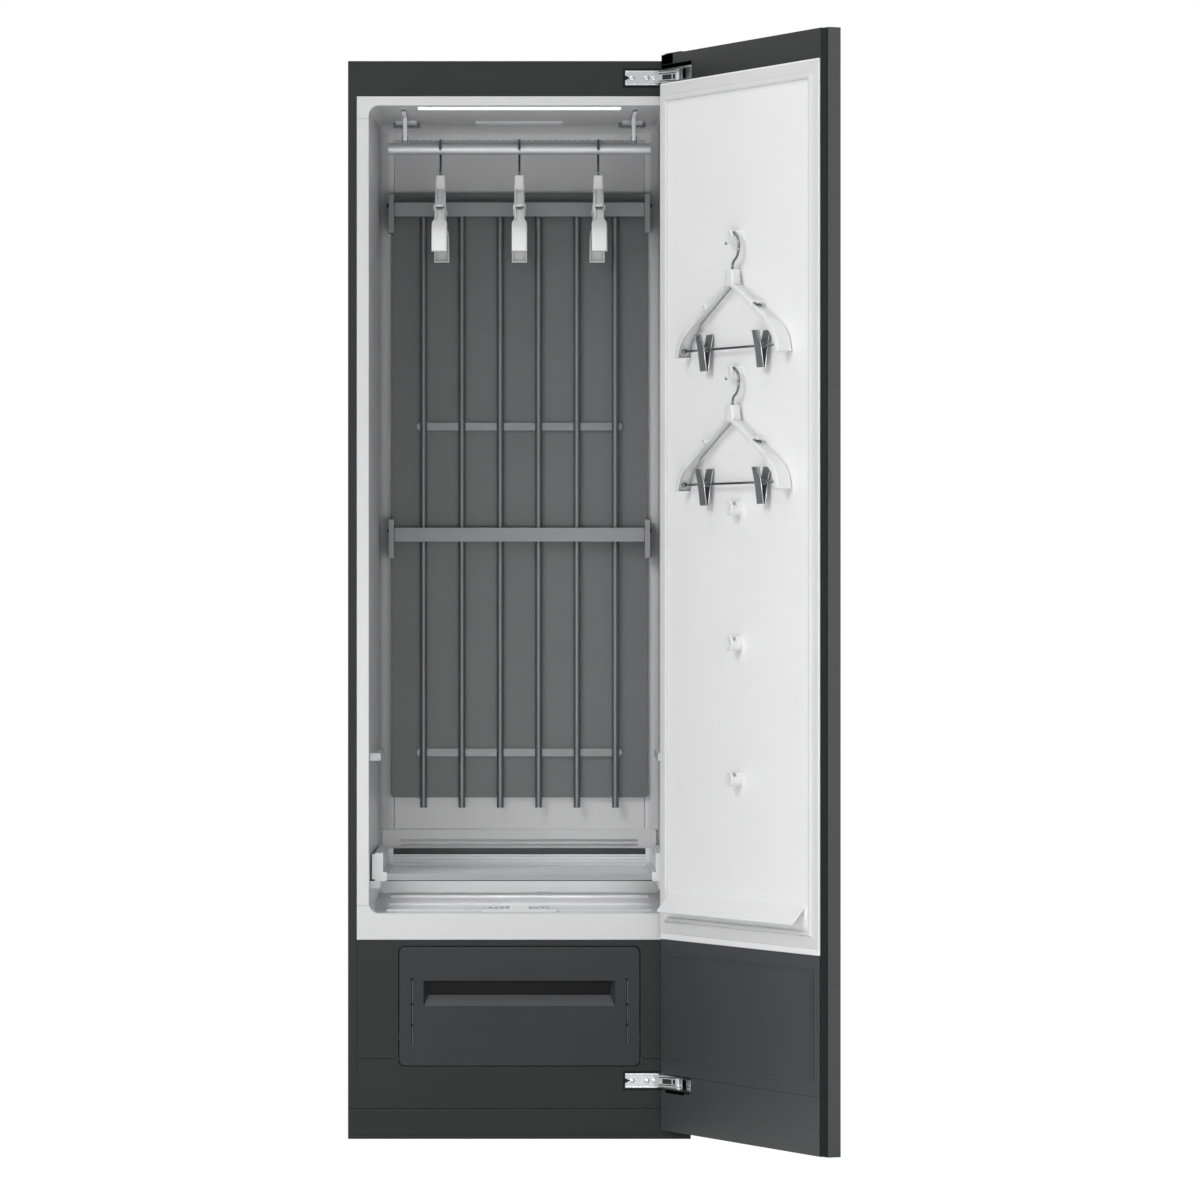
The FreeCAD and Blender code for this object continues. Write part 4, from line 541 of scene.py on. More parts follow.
def arm_at(reach):
    """The outer line's height and slope at a distance from the middle, by interpolation."""
    line = arm_line()
    for (u0, v0, s0), (u1, v1, s1) in zip(line, line[1:]):
        if u0 <= reach <= u1:
            share = (reach - u0) / (u1 - u0)
            return v0 + (v1 - v0) * share, s0 + (s1 - s0) * share
    return line[-1][1:]


print("arm from", 2 * HANGER_HALF, "m tip to tip")

# %% [markdown]
# The neck is a tapered block with rounded edges, where the two halves of the mould meet and
# the steel hook is gripped. Half way along each arm a small band with a raised lip keeps a
# strap from sliding off.

# %% Mould the arm, the neck and the strap bands


def rounded_ring(half_a, half_b, corner, steps=5):
    """Points of a rectangle with rounded corners."""
    ring = []
    for i, (a, b) in enumerate(((1, 1), (-1, 1), (-1, -1), (1, -1))):
        for k in range(steps):
            turn = math.radians(90 * (i + k / (steps - 1)))
            ring.append((a * (half_a - corner) + corner * math.cos(turn),
                         b * (half_b - corner) + corner * math.sin(turn)))
    return ring


NECK = ((-89, 18, 9.6, 4), (-84, 16.4, 9.1, 4), (-76, 15.2, 8.7, 3.8), (-65, 13.2, 8.3, 3.4),
        (-62, 12.6, 8.0, 3.2), (-61, 11.4, 6.8, 3))
STRAP_PLACE = 86 * MM
STRAP_OUTLINE = ((-5, 0.3), (-4, 1.6), (-2, 2.2), (2, 2.2), (4, 1.6), (5, 0.3))
STRAP_CROWN = 4 * MM
LIP_OUTLINE = ((2, 1, 8), (5, 4, 8), (9, 6.5, 7), (12, 7, 6), (12.5, 5.5, 5))
LIP_THICK = 2
TIP_OUTLINE = ((-13, -0.6), (13, -0.6), (13, -11.8), (-13, -11.8))
TIP_PLATE = (0.2 * MM, 2.5 * MM)


def hanger_form(spot):
    """The moulded part of a hanger; spot turns its own places into the world's."""
    form = bmesh.new()
    half = arm_line()
    line = [(-u, v, -slope) for u, v, slope in reversed(half[1:])] + half
    skin(form, [
        along_arm(spot, u, v, slope, channel(
            arm_width(u), arm_depth(u), CROWN, ROOF + SHOULDER_FILL * shoulder_share(u),
            GROOVE * (1 - shoulder_share(u))))
        for u, v, slope in line])
    for sign in (-1, 1):
        u, v, slope = half[-1]
        ends = []
        for back in TIP_PLATE:
            place = (sign * (u - back * math.cos(slope)), v + back * math.sin(slope))
            ends.append(along_arm(spot, *place, sign * slope, mm(TIP_OUTLINE)))
        skin(form, ends)
        strap = []
        for offset, grow in STRAP_OUTLINE:
            reach = STRAP_PLACE + offset * MM
            level, lean = arm_at(reach)
            grown = channel(
                arm_width(reach) + 2 * grow * MM, arm_depth(reach) + grow * MM, STRAP_CROWN)
            lifted = [(a, b + grow * MM) for a, b in grown]
            strap.append(along_arm(spot, sign * reach, level, sign * lean, lifted))
        skin(form, strap)
        lip = []
        for offset, height, width in LIP_OUTLINE:
            reach = STRAP_PLACE + offset * MM
            level, lean = arm_at(reach)
            under = height - LIP_THICK
            section = ((width, height), (-width, height), (-width, under), (width, under))
            lip.append(along_arm(spot, sign * reach, level, sign * lean, mm(section)))
        skin(form, lip)
    skin(form, [
        [spot(a, height * MM, b) for a, b in rounded_ring(wide * MM, thick * MM, corner * MM)]
        for height, wide, thick, corner in NECK])
    return form


# %% [markdown]
# The hook is one bent and chromed wire: up from the neck, sideways in a short bend and then
# round in a ring that ends in a small ball, so that it can't scratch the rod.

# %% Bend the hook
HOOK_RADIUS = 24 * MM
HOOK_BEND = 13.4 * MM
HOOK_LEAN = math.acos(HOOK_BEND / (HOOK_RADIUS + HOOK_BEND))
HOOK_END = math.radians(164)
HOOK_FOOT = 66 * MM
BALL_RADIUS = 2.6
COLLAR_PLACE = 61 * MM
COLLAR_OUTLINE = ((-1, 4), (0.8, 3.6), (1.6, 2.4))


def hook_form(spot, hand):
    """The wire of a hook that passes on one hand of its middle."""
    centre = CAD_WIRE - HOOK_RADIUS
    low = centre - math.sqrt((HOOK_RADIUS + HOOK_BEND) ** 2 - HOOK_BEND ** 2)
    path = [(0, -HOOK_FOOT), (0, low)]
    for i in range(1, 9):
        turn = math.pi - HOOK_LEAN * i / 8
        path.append((HOOK_BEND * (1 + math.cos(turn)), low + HOOK_BEND * math.sin(turn)))
    for i in range(1, 33):
        turn = -HOOK_LEAN + (HOOK_END + HOOK_LEAN) * i / 32
        path.append((HOOK_RADIUS * math.cos(turn), centre + HOOK_RADIUS * math.sin(turn)))
    across = spot(0, 0, 1) - spot(0, 0, 0)
    form = bmesh.new()
    points = [spot(hand * u, v, 0) for u, v in path]
    wire(form, points, WIRE_RADIUS, across)
    ball = [(BALL_RADIUS * math.sin(a), BALL_RADIUS * math.cos(a))
            for a in (math.radians(b) for b in range(-80, 81, 20))]
    turned(form, points[-1], points[-1] - points[-2], ball, 14)
    turned(form, spot(0, -COLLAR_PLACE, 0), (0, 0, 1), COLLAR_OUTLINE, 16)
    return form


# %% Hang the coat hangers on the rod
REST_OFFSET = 2 * CAD_WIRE
for number in (1, 2, 3):
    node = f"coat_hanger_{number}"
    low, high, _ = size_of(node)
    middle = (low + high) / 2
    rest = high.z - REST_OFFSET

    def coat_spot(u, v, w, middle=middle, rest=rest):
        """Places of a hanger that hangs across the rod."""
        return Vector((middle.x + w, middle.y + u, rest + v))

    finished(f"coat_hanger_{number}_arm", hanger_form(coat_spot), white_polypropylene,
             f"coat_{number}", stands_for=(node,))
    finished(f"coat_hanger_{number}_hook", hook_form(coat_spot, 1), chrome_wire,
             f"coat_{number}", stands_for=(node,))
    print(node, "rests at", round(rest, 4))

# %% [markdown]
# A trouser hanger is the same moulding with a wire bar between its tips, on which two spring
# clips slide. Each end of the bar sits in a small boss inside the tip.

# %% Hang the trouser hangers on the door
BAR_DROP = 193 * MM
BAR_HALF = HANGER_HALF - ARM_DEPTH + 1 * MM
BOSS_START = BAR_HALF - 4 * MM
BOSS_OUTLINE = ((0, 2.4), (0.8, 4), (5, 4.4))
bar_lines = {}
for number in (1, 2):
    node = f"trouser_hanger_{number}"
    low, high, _ = shut_size_of(node)
    middle = (low + high) / 2
    rest = high.z - REST_OFFSET
    bar_lines[number] = Vector((middle.x, middle.y, rest - BAR_DROP))

    def door_spot(u, v, w, middle=middle, rest=rest):
        """Places of a hanger that hangs flat against the shut door."""
        return Vector((middle.x + u, middle.y + w, rest + v))

    finished(f"trouser_hanger_{number}_arm", hanger_form(door_spot), white_polypropylene,
             f"trouser_{number}", open_door, (node,))
    form = hook_form(door_spot, -1)
    wire(form, [door_spot(-BAR_HALF, -BAR_DROP, 0), door_spot(BAR_HALF, -BAR_DROP, 0)],
         WIRE_RADIUS, (0, 0, 1))
    for sign in (-1, 1):
        turned(form, door_spot(sign * BOSS_START, -BAR_DROP, 0), (sign, 0, 0), BOSS_OUTLINE, 18)
    finished(f"trouser_hanger_{number}_wire", form, chrome_wire, f"trouser_{number}",
             open_door, (node,))
    print(node, "bar at", round(rest - BAR_DROP, 4))

# %% [markdown]
# ## Spring clips
# A clip is two pressed steel legs that pivot on the bar, with a coil spring between them.
# The legs are solids already. Their rolled edges, the finger ribs and the spring are added,
# because they give the clip its bright outline. The edges and ribs are brighter nickel than
# the legs, a painted highlight along that outline.

# %% Dress the clips
LEG_LINE = ((12, 26), (6.8, 1), (2.3, -36))
LEG_EDGE = 0.5
EDGE_RADIUS = 0.8 * MM
RIB_HEIGHTS = (24, 21, 18, 15)
RIB_RADIUS = 0.7 * MM
RIB_SINK = 0.2
SPRING_TURNS = 7
SPRING_PITCH = 1.5
SPRING_RADIUS = 4.6
SPRING_WIRE = 0.7
(top_y, top_z), (bend_y, bend_z), _ = LEG_LINE
for number in (1, 2):
    for hand in HANDS:
        fixed_name, jaw_name = f"clip_{number}_{hand}", f"jaw_{number}_{hand}"
        low, high, size = shut_size_of(fixed_name)
        centre = Vector(((low.x + high.x) / 2, bar_lines[number].y, bar_lines[number].z))
        for side, node in ((-1, fixed_name), (1, jaw_name)):
            form = bmesh.new()
            for end in (-1, 1):
                at = end * (size.x / 2 - LEG_EDGE * MM)
                wire(form, [centre + Vector((at, side * (y - LEG_EDGE) * MM, z * MM))
                            for y, z in LEG_LINE], EDGE_RADIUS, (1, 0, 0), 8)
            for level in RIB_HEIGHTS:
                y = bend_y + (level - bend_z) * (top_y - bend_y) / (top_z - bend_z) - RIB_SINK
                reach = size.x / 2 - 3 * MM
                wire(form, [centre + Vector((-reach, side * y * MM, level * MM)),
                            centre + Vector((reach, side * y * MM, level * MM))],
                     RIB_RADIUS, (0, 0, 1), 8)
            finished(f"{node}_edges", form, nickel_plate, f"{node}_body", open_door)
        form = bmesh.new()
        outline = []
        for i in range(SPRING_TURNS * 4 + 1):
            bulge = abs(math.sin(math.pi * i / 4)) * SPRING_WIRE
            outline.append(((i / 4 - SPRING_TURNS / 2) * SPRING_PITCH, SPRING_RADIUS + bulge))
        turned(form, centre, (1, 0, 0), outline, 20)
        finished(f"{fixed_name}_spring", form, chrome_wire, f"{fixed_name}_body",
                 open_door)
print("clips dressed")

# %% [markdown]
# ## Pegs
# Each peg on the door is a moulded barrel with a notch across its top, just behind the round
# head, where the hook drops in. It is skinned from rings. In the notch only the upper half of
# a ring is pressed down, so the barrel stays full underneath.

# %% Mould the pegs
PEG_COUNT = 5
PEG_OUTLINE = (
    (-0.5, 12.4, 1.0), (9.0, 12.2, 1.0), (11.0, 12.0, 0.86), (12.2, 12.0, 0.5), (16.8, 12.0, 0.5),
    (18.0, 12.0, 0.8), (18.8, 12.2, 1.0), (21.6, 12.3, 1.0), (22.6, 11.6, 1.0), (23.0, 10.4, 1.0),
    (22.6, 9.6, 1.0), (22.5, 4.0, 1.0))
PEG_STEPS = 40
low, high, size = shut_size_of("door_hooks")
first = high.z - size.x / 2
pitch = (size.z - size.x) / (PEG_COUNT - 1)
form = bmesh.new()
for i in range(PEG_COUNT):
    rings = []
    for height, radius, upper in PEG_OUTLINE:
        ring = []
        for k in range(PEG_STEPS):
            turn = math.tau * k / PEG_STEPS
            rise = math.sin(turn) * radius * (upper if math.sin(turn) > 0 else 1)
            ring.append(((low.x + high.x) / 2 + math.cos(turn) * radius * MM,
                         low.y + height * MM, first - i * pitch + rise * MM))
        rings.append(ring)
    skin(form, rings)
finished("door_peg_row", form, white_polypropylene, "door", open_door,
         ("door_hooks",))
print(PEG_COUNT, "pegs,", round(pitch, 4), "m apart")

# %% [markdown]
# ## Door seal
# The seal is an extruded vinyl strip, cut at 45 degrees and welded at the corners into one
# frame. Its hollow bead meets the casing and a thin fin covers the groove in the liner. One
# section is carried round the four corners, so the mitres come out right by themselves.

# %% Mitre the seal
SEAL_SECTION = (
    (0.0, 0.0), (0.3, 3.4), (1.8, 5.3), (4.2, 6.1), (6.6, 5.6), (8.6, 3.6), (9.6, 1.6),
    (12.0, 0.7), (17.0, 1.5), (24.0, 1.7), (28.5, 1.2), (29.4, 0.4), (29.4, 0.0))
SEAL_WIDTH = 10 * MM
low, high, _ = shut_size_of("door_gasket")
form = bmesh.new()
rings = []
for across, up in ((-1, -1), (1, -1), (1, 1), (-1, 1)):
    corner_x = high.x - SEAL_WIDTH if across > 0 else low.x + SEAL_WIDTH
    corner_z = high.z - SEAL_WIDTH if up > 0 else low.z + SEAL_WIDTH
    rings.append([
        (corner_x + across * out * MM, low.y + height * MM, corner_z + up * out * MM)
        for out, height in SEAL_SECTION])
skin(form, rings, joined=True)
finished("door_seal_frame", form, seal_vinyl, "door", open_door, ("door_gasket",))
print("seal", round(high.x - low.x, 3), "by", round(high.z - low.z, 3), "m")

# %% [markdown]
# ## Hinges
# The hinge arm is a pressed steel channel held by three riveted screws, and its link is a
# pair of cheeks round a dark core, which shows through windows in them. Bent lips along the
# channel's edges and the domed heads are what shows from the front, so they are laid over the
# solid arm. A black frame round each arm is painted shade in its pocket, and black strips in
# the door are painted shade in the gaps round the hinges.

# %% Dress the hinge arms
arms_low, arms_high, _ = size_of("hinge_arms")
ARM_HALF = 12.7 * MM
ARM_START = 183.5 * MM
ARM_END = 245 * MM
ARM_FACE = front - 2 * MM
HEADS = (12, 38, 50)
HEAD_OUTLINE = ((0, 4.4), (0.6, 4.4), (1.3, 3.6), (1.7, 2))
PIN_OUTLINE = ((-10.4, 3), (-9.6, 4.4), (9.6, 4.4), (10.4, 3))
POCKET_LENGTH = 62 * MM
POCKET_WIDTH = 4 * MM
POCKET_EDGE = ARM_HALF + POCKET_WIDTH
LINK_HALF = 9.2 * MM
CHEEK = 1.8 * MM
WINDOWS = ((0.38, 0.8, 0, 8.6), (0.86, 0.97, 0, 8.6), (0.2, 1, 6.4, 1.6), (0.2, 1, -6.4, 1.6))
LINK_NEAR = Vector((ARM_END - 10.7 * MM, ARM_FACE - 1.2 * MM))
LINK_FAR = Vector((hinge_line.x - 5.5 * MM, hinge_line.y - 4.3 * MM))
link_way = LINK_FAR - LINK_NEAR
link_out = Vector((link_way.y, -link_way.x)).normalized() * MM
hinge_levels = (arms_high.z - ARM_HALF, arms_low.z + ARM_HALF)
for word, level in zip(("upper", "lower"), hinge_levels):
    form = bmesh.new()
    for side in (-1, 1):
        z = level + side * (ARM_HALF - 1.6 * MM)
        block(form, (ARM_START + 1 * MM, ARM_FACE - 1.6 * MM, z - 1.5 * MM),
              (ARM_END + 4 * MM, ARM_FACE + 0.5 * MM, z + 1.5 * MM), 0.7 * MM)
    for offset in HEADS:
        turned(form, (ARM_START + offset * MM, ARM_FACE, level), (0, -1, 0), HEAD_OUTLINE)
    turned(form, (hinge_line.x, hinge_line.y, level), (0, 0, 1), PIN_OUTLINE)
    finished(f"hinge_{word}_lips", form, nickel_plate, "cabinet")
    form = bmesh.new()
    outline = [(ARM_END - 10 * MM, front - 1 * MM), LINK_NEAR + link_out * 0.8,
               LINK_FAR + link_out * 0.8, (hinge_line.x - 1 * MM, hinge_line.y - 7.2 * MM),
               (hinge_line.x + 6.4 * MM, hinge_line.y - 2.4 * MM),
               (hinge_line.x + 5.4 * MM, hinge_line.y + 4.6 * MM),
               (ARM_END + 1 * MM, front - 1 * MM)]
    for side in (-1, 1):
        prism(form, outline, level + side * (LINK_HALF - CHEEK / 2), CHEEK)
    finished(f"hinge_{word}_cheeks", form, nickel_plate, "cabinet")
    form = bmesh.new()
    for start, stop, lift, tall in WINDOWS:
        near, far = LINK_NEAR + link_way * start, LINK_NEAR + link_way * stop
        prism(form, [near + link_out * 0.4, far + link_out * 0.4, far - link_out, near - link_out],
              level + lift * MM, tall * MM)
    finished(f"hinge_{word}_window", form, dark_steel, "cabinet")
    # Painted shade: a black frame round each arm stands for the shade in its pocket.
    form = bmesh.new()
    for x_low, x_high, z_low, z_high in (
            (-POCKET_WIDTH, 0, -POCKET_EDGE, POCKET_EDGE),
            (0, POCKET_LENGTH, ARM_HALF, POCKET_EDGE),
            (0, POCKET_LENGTH, -POCKET_EDGE, -ARM_HALF)):
        block(form, (ARM_START + x_low, front - 0.3 * MM, level + z_low),
              (ARM_START + x_high, front + 0.7 * MM, level + z_high))
    finished(f"hinge_{word}_pocket", form, black_nylon_and_shade, "cabinet")
    print("hinge at", round(level, 4))

# %% Paint the shade into the gaps round the hinges
frame_face = shut_size_of("door_frame")[1].y
cover_face = shut_size_of("door_lower_cover")[1].y
form = bmesh.new()
for face, level, x_low, x_high, z_low, z_high in (
        (frame_face, hinge_levels[0], 253, 296, 20.5, 37.4),
        (frame_face, hinge_levels[0], 181, 296, 12.6, 19.6),
        (cover_face, hinge_levels[1], 205, 275, -17.4, -14.2)):
    block(form, (x_low * MM, face - 0.6 * MM, level + z_low * MM),
          (x_high * MM, face + 0.3 * MM, level + z_high * MM))
finished("hinge_gap_shade", form, gap_shade, "door", open_door)
print("gaps closed")

# %% [markdown]
# ## Drawer face
# Two fine slits with a dot above and below mark the water levels on the drawer. Light can't
# reach into them on the real face, so each is closed with a dark inlay just below the paint,
# as painted shade. A pale strip along one side of each slit is a painted highlight of its edge.

# %% Lay the dark marks into the drawer
face_y = size_of("drawer_front")[0].y
SLIT_PLACE = 186.5 * MM
SLIT_LOW = 163 * MM
SLIT_HIGH = 277 * MM
DOT_LEVELS = (277, 234, 198)
DOT_OUTLINE = ((0, 2.5), (0.7, 2.5), (0.9, 2))
form = bmesh.new()
edges = bmesh.new()
for side in (-1, 1):
    block(form, (side * SLIT_PLACE - 0.8 * MM, face_y - 0.1 * MM, SLIT_LOW),
          (side * SLIT_PLACE + 0.8 * MM, face_y + 0.9 * MM, SLIT_HIGH))
    block(edges, (side * SLIT_PLACE + 0.8 * MM, face_y - 0.15 * MM, SLIT_LOW),
          (side * SLIT_PLACE + 1.3 * MM, face_y + 0.9 * MM, SLIT_HIGH))
    for level in DOT_LEVELS:
        turned(form, (side * SLIT_PLACE, face_y + 0.5 * MM, level * MM), (0, -1, 0),
               DOT_OUTLINE, 20)
finished("drawer_slit_highlights", edges, clamp_abs, "tank_drawer")
finished("drawer_marks", form, black_nylon_and_shade, "tank_drawer")
print("drawer marked")

# %% [markdown]
# The grip is a recess across the drawer's face. Its rear wall is lined black, painted shade
# for the shadow of the top lip, and a ramp of a paler plastic, painted light where light
# from above falls, runs down from it to the lower edge, where the fingers rest.

# %% Line the grip
GRIP_LOW = 230 * MM
GRIP_STEP = 19.4 * MM
GRIP_HIGH = 274.6 * MM
GRIP_DEPTH = 16 * MM
GRIP_HALF = 166.5 * MM
GRIP_END = 9 * MM
back = face_y + GRIP_DEPTH
# Painted shade: a black plate on the grip's rear wall, under the top lip.
form = bmesh.new()
block(form, (-(GRIP_HALF - GRIP_END), back - 0.5 * MM, GRIP_LOW + GRIP_STEP),
      (GRIP_HALF - GRIP_END, back + 0.5 * MM, GRIP_HIGH), 0.2 * MM)
finished("grip_back", form, black_nylon_and_shade, "tank_drawer")
# Painted light: a paler plate on the ramp.
form = bmesh.new()
skin(form, [
    [(-half, y, z - 0.6 * MM), (half, y, z - 0.6 * MM), (half, y, z), (-half, y, z)]
    for half, y, z in (
        (GRIP_HALF - 1 * MM, face_y + 0.6 * MM, GRIP_LOW + 1.3 * MM),
        (GRIP_HALF - GRIP_END, back - 0.4 * MM, GRIP_LOW + GRIP_STEP + 0.2 * MM))])
finished("grip_ramp", form, grip_light_abs, "tank_drawer")
print("grip lined")

# %% [markdown]
# ## Inside of the cavity
# A vacuum formed liner has no sharp inner corners: where the rear wall meets the sides and
# the top, the sheet runs round in a cove about as wide as a thumb. The cove is a strip with
# a hollow curved face, carried up one side, across and down the other.

# %% Round the rear corners
COVE = 26 * MM
COVE_STEPS = 8
NEAR_WALL = 1.5 * MM
rear_y = size_of("rear_grille")[1].y


def on_rear_wall(name):
    """The corners of a solid that lie on the rear wall."""
    return [c.co for c in solids[name].data.vertices if abs(c.co.y - rear_y) < NEAR_WALL]


rear_half = max(abs(spot.x) for spot in on_rear_wall("wall_liner"))
ceiling_z = max(
    (spot.z for spot in on_rear_wall("ceiling_liner")), default=size_of("rod_brackets")[1].z)
seam_z = size_of("rear_grille")[1].z
hollow = [(0.0, 0.0)]
for i in range(COVE_STEPS + 1):
    turn = math.pi / 2 * i / COVE_STEPS
    hollow.append((COVE * (1 - math.sin(turn)), COVE * (1 - math.cos(turn))))
path = ((-rear_half, seam_z, 1, 0), (-rear_half, ceiling_z, 1, -1),
        (rear_half, ceiling_z, -1, -1), (rear_half, seam_z, -1, 0))
form = bmesh.new()
skin(form, [
    [(x + side * out, rear_y - fore, z + up * out) for out, fore in hollow]
    for x, z, side, up in path])
finished("cavity_cove", form, formed_liner, "cabinet")
print("rear wall", round(2 * rear_half, 4), "m wide, ceiling at", round(ceiling_z, 4))

# %% [markdown]
# The steam outlet in the ceiling is a low moulded bar. The basin has long shallow ribs that
# stiffen it and guide water to the filter, which is lifted out by a white tab. A low cap
# spreads the steam of the nozzle, and a round ledge finishes the grille's upper edge. The
# ledge is whiter than the liner, a painted highlight along it.

# %% Add the outlet, the ribs and the filter tab
OUTLET_HALF = 79 * MM
OUTLET_DROP = 4.4 * MM
OUTLET_SOFT = 1.6 * MM
FRONT_FLOOR = 391.5 * MM
REAR_FLOOR = 404 * MM
BASIN_RIBS = ((0.855, 80, 3.4), (0.48, 96, 2.8), (0.12, 16, 3.6))
RIB_HALF = 232 * MM
LEDGE_HALF = 236 * MM
CAP_OUTLINE = ((0, 16), (2.5, 16), (4.6, 13), (5.4, 9))
form = bmesh.new()
block(form, (-OUTLET_HALF, 88 * MM, ceiling_z - OUTLET_DROP),
      (OUTLET_HALF, 139 * MM, ceiling_z + 1 * MM), OUTLET_SOFT)
finished("steam_outlet", form, door_liner_sheet, "cabinet")
form = bmesh.new()
for place, width, rise in BASIN_RIBS:
    y = front + place * (rear_y - front)
    z = FRONT_FLOOR + place * (REAR_FLOOR - FRONT_FLOOR)
    block(form, (-RIB_HALF, y - width / 2 * MM, z - 3 * MM),
          (RIB_HALF, y + width / 2 * MM, z + rise * MM), 2 * MM)
finished("basin_ribs", form, formed_liner, "cabinet")
nozzle_low, nozzle_high, _ = size_of("steam_boiler")
form = bmesh.new()
turned(form, ((nozzle_low.x + nozzle_high.x) / 2, (nozzle_low.y + nozzle_high.y) / 2,
              REAR_FLOOR - 1 * MM), (0, 0, 1), CAP_OUTLINE, 32)
finished("steam_nozzle_cap", form, formed_liner, "cabinet")
# Painted highlight: the ledge is whiter than the liner.
form = bmesh.new()
cross_wire(form, LEDGE_HALF, rear_y, seam_z + 0.6 * MM, 1.3 * MM)
finished("grille_ledge", form, white_polypropylene, "cabinet")
filter_low, filter_high, _ = size_of("floor_filter")
form = bmesh.new()
block(form, (-17 * MM, filter_low.y + 3 * MM, filter_high.z - 10 * MM),
      (17 * MM, filter_low.y + 7 * MM, filter_high.z + 0.5 * MM), 1.2 * MM)
finished("filter_tab", form, door_liner_sheet, "cabinet")
print("basin dressed")

# %% [markdown]
# The rod's brackets end in cross bars against the ceiling, rounded along their length. The
# bars are paler than the brackets behind them, a painted highlight on their front edges, and
# the brackets' darker grey is painted shade. The liner is formed in parts, and fine lines
# on the flange show where they meet.

# %% Round the bracket bars and draw the seams
brackets_low, brackets_high, _ = size_of("rod_brackets")
POST_PLACE = 203 * MM
ROD_TOP = size_of("hanger_rod")[1].z + 4 * MM
form = bmesh.new()
for side in (-1, 1):
    centre_x = side * POST_PLACE
    block(form, (centre_x - 19 * MM, 77 * MM, ceiling_z - OUTLET_DROP),
          (centre_x + 19 * MM, 131 * MM, ceiling_z + 1 * MM), OUTLET_SOFT)
    block(form, (centre_x - 4 * MM, brackets_low.y, ceiling_z - 4 * MM),
          (centre_x + 4 * MM, brackets_high.y - 20 * MM, ceiling_z + 1 * MM), 1.5 * MM)
    block(form, (centre_x - 3.6 * MM, -33 * MM, ROD_TOP),
          (centre_x + 3.6 * MM, -27 * MM, ceiling_z), 1.4 * MM)
finished("bracket_bars", form, door_liner_sheet, "cabinet")
FLANGE_IN = 262 * MM
FLANGE_OUT = 282 * MM
form = bmesh.new()
for level in (size_of("ceiling_liner")[0].z, size_of("wall_liner")[0].z):
    for side in (-1, 1):
        near, far = sorted((side * FLANGE_IN, side * FLANGE_OUT))
        block(form, (near, front - 0.15 * MM, level - 0.3 * MM),
              (far, front + 0.5 * MM, level + 0.3 * MM))
finished("liner_seams", form, clamp_abs, "cabinet")
print("brackets and seams added")

# %% [markdown]
# The lower cover of the door is stiffened by a fine raised bead that runs round it.

# %% Press the bead into the cover
BEAD_SECTION = ((0.0, -0.2), (0.3, 0.5), (1.0, 0.8), (1.7, 0.5), (2.0, -0.2))
BEAD_HALF = 271.5 * MM
BEAD_LOW = 146.4 * MM
BEAD_HIGH = 322.5 * MM
form = bmesh.new()
skin(form, [
    [(across * (BEAD_HALF + out * MM), cover_face + height * MM, level + up * out * MM)
     for out, height in BEAD_SECTION]
    for across, up, level in ((-1, -1, BEAD_LOW), (1, -1, BEAD_LOW), (1, 1, BEAD_HIGH),
                              (-1, 1, BEAD_HIGH))], joined=True)
finished("cover_bead", form, painted_door, "door", open_door)
print("bead added")

# %% [markdown]
# ## Clamp pivots and shelf trim
# Each press bar turns on a pin whose black cap shows at the end. A dark strip along the top
# of the shelf's rear board is painted shade, with fine ribs below it. Its front rail is a
# moulded section, with a dark bead underneath that is a painted shadow line.

# %% Cap the pivots
PIVOT_OUTLINE = ((0, 3.6), (1.4, 3.6), (2.2, 2.8), (2.5, 1.4))
for word in ("upper", "middle"):
    bar_end = size_of(f"{word}_clamp_bar")[1].x
    pivot = Vector(joints[f"{word}_bar_pivot"]["pos_m"])
    form = bmesh.new()
    for side in (-1, 1):
        turned(form, (side * (bar_end - 0.8 * MM), pivot.y, pivot.z), (side, 0, 0),
               PIVOT_OUTLINE, 20)
    finished(f"{word}_pivot_caps", form, black_nylon_and_shade, f"{word}_bar")
print("pivots capped")

# %% Trim the shelf
tray_low, tray_high, _ = size_of("shelf_tray")
BOARD_FACE = tray_high.y - 8 * MM
TRIM_HALF = 227 * MM
TRIM_LOW = 477.5 * MM
TRIM_HIGH = 488.3 * MM
BOARD_RIBS = (474, 468.5, 463)
FOOT_IN = 231.3 * MM
SHADOW_LINE_LEVEL = 446.2 * MM
# Painted shade: a dark strip along the top of the rear board.
form = bmesh.new()
block(form, (-TRIM_HALF, BOARD_FACE - 0.8 * MM, TRIM_LOW),
      (TRIM_HALF, BOARD_FACE + 0.4 * MM, TRIM_HIGH), 0.4 * MM)
finished("shelf_trim", form, cover_abs, "shelf")
form = bmesh.new()
for level in BOARD_RIBS:
    cross_wire(form, TRIM_HALF, BOARD_FACE, level * MM, 1.3 * MM)
finished("shelf_ribs", form, moulded_abs, "shelf")
RAIL_SECTION = (
    (-1, 447), (0.2, 446.8), (0.9, 447.3), (0.9, 449.3), (0.2, 449.8), (0.2, 450.9), (0.9, 451.4),
    (0.9, 453.4), (0.2, 453.9), (0.2, 454.9), (0.9, 455.4), (0.9, 457.0), (0.3, 457.4), (-1, 457.3))
form = bmesh.new()
skin(form, [[(x, tray_low.y - proud * MM, level * MM) for proud, level in RAIL_SECTION]
            for x in (-FOOT_IN, FOOT_IN)])
finished("shelf_rail", form, rail_abs, "shelf")
# Painted shadow: a dark bead under the front rail.
form = bmesh.new()
cross_wire(form, FOOT_IN, tray_low.y + 0.6 * MM, SHADOW_LINE_LEVEL, 1 * MM)
finished("shelf_shadow_line", form, cover_abs, "shelf")
print("shelf trimmed")

# %% [markdown]
# ## Studio
# A white sweep with soft light from large boxes in front and above shows a dark cabinet
# plainly. The camera sees the sweep as white, while the light that reaches the object stays
# at a plain level. A low box in front and two small lamps in the cavity light the basin under
# the shelf, where the lamp in the ceiling can't reach.

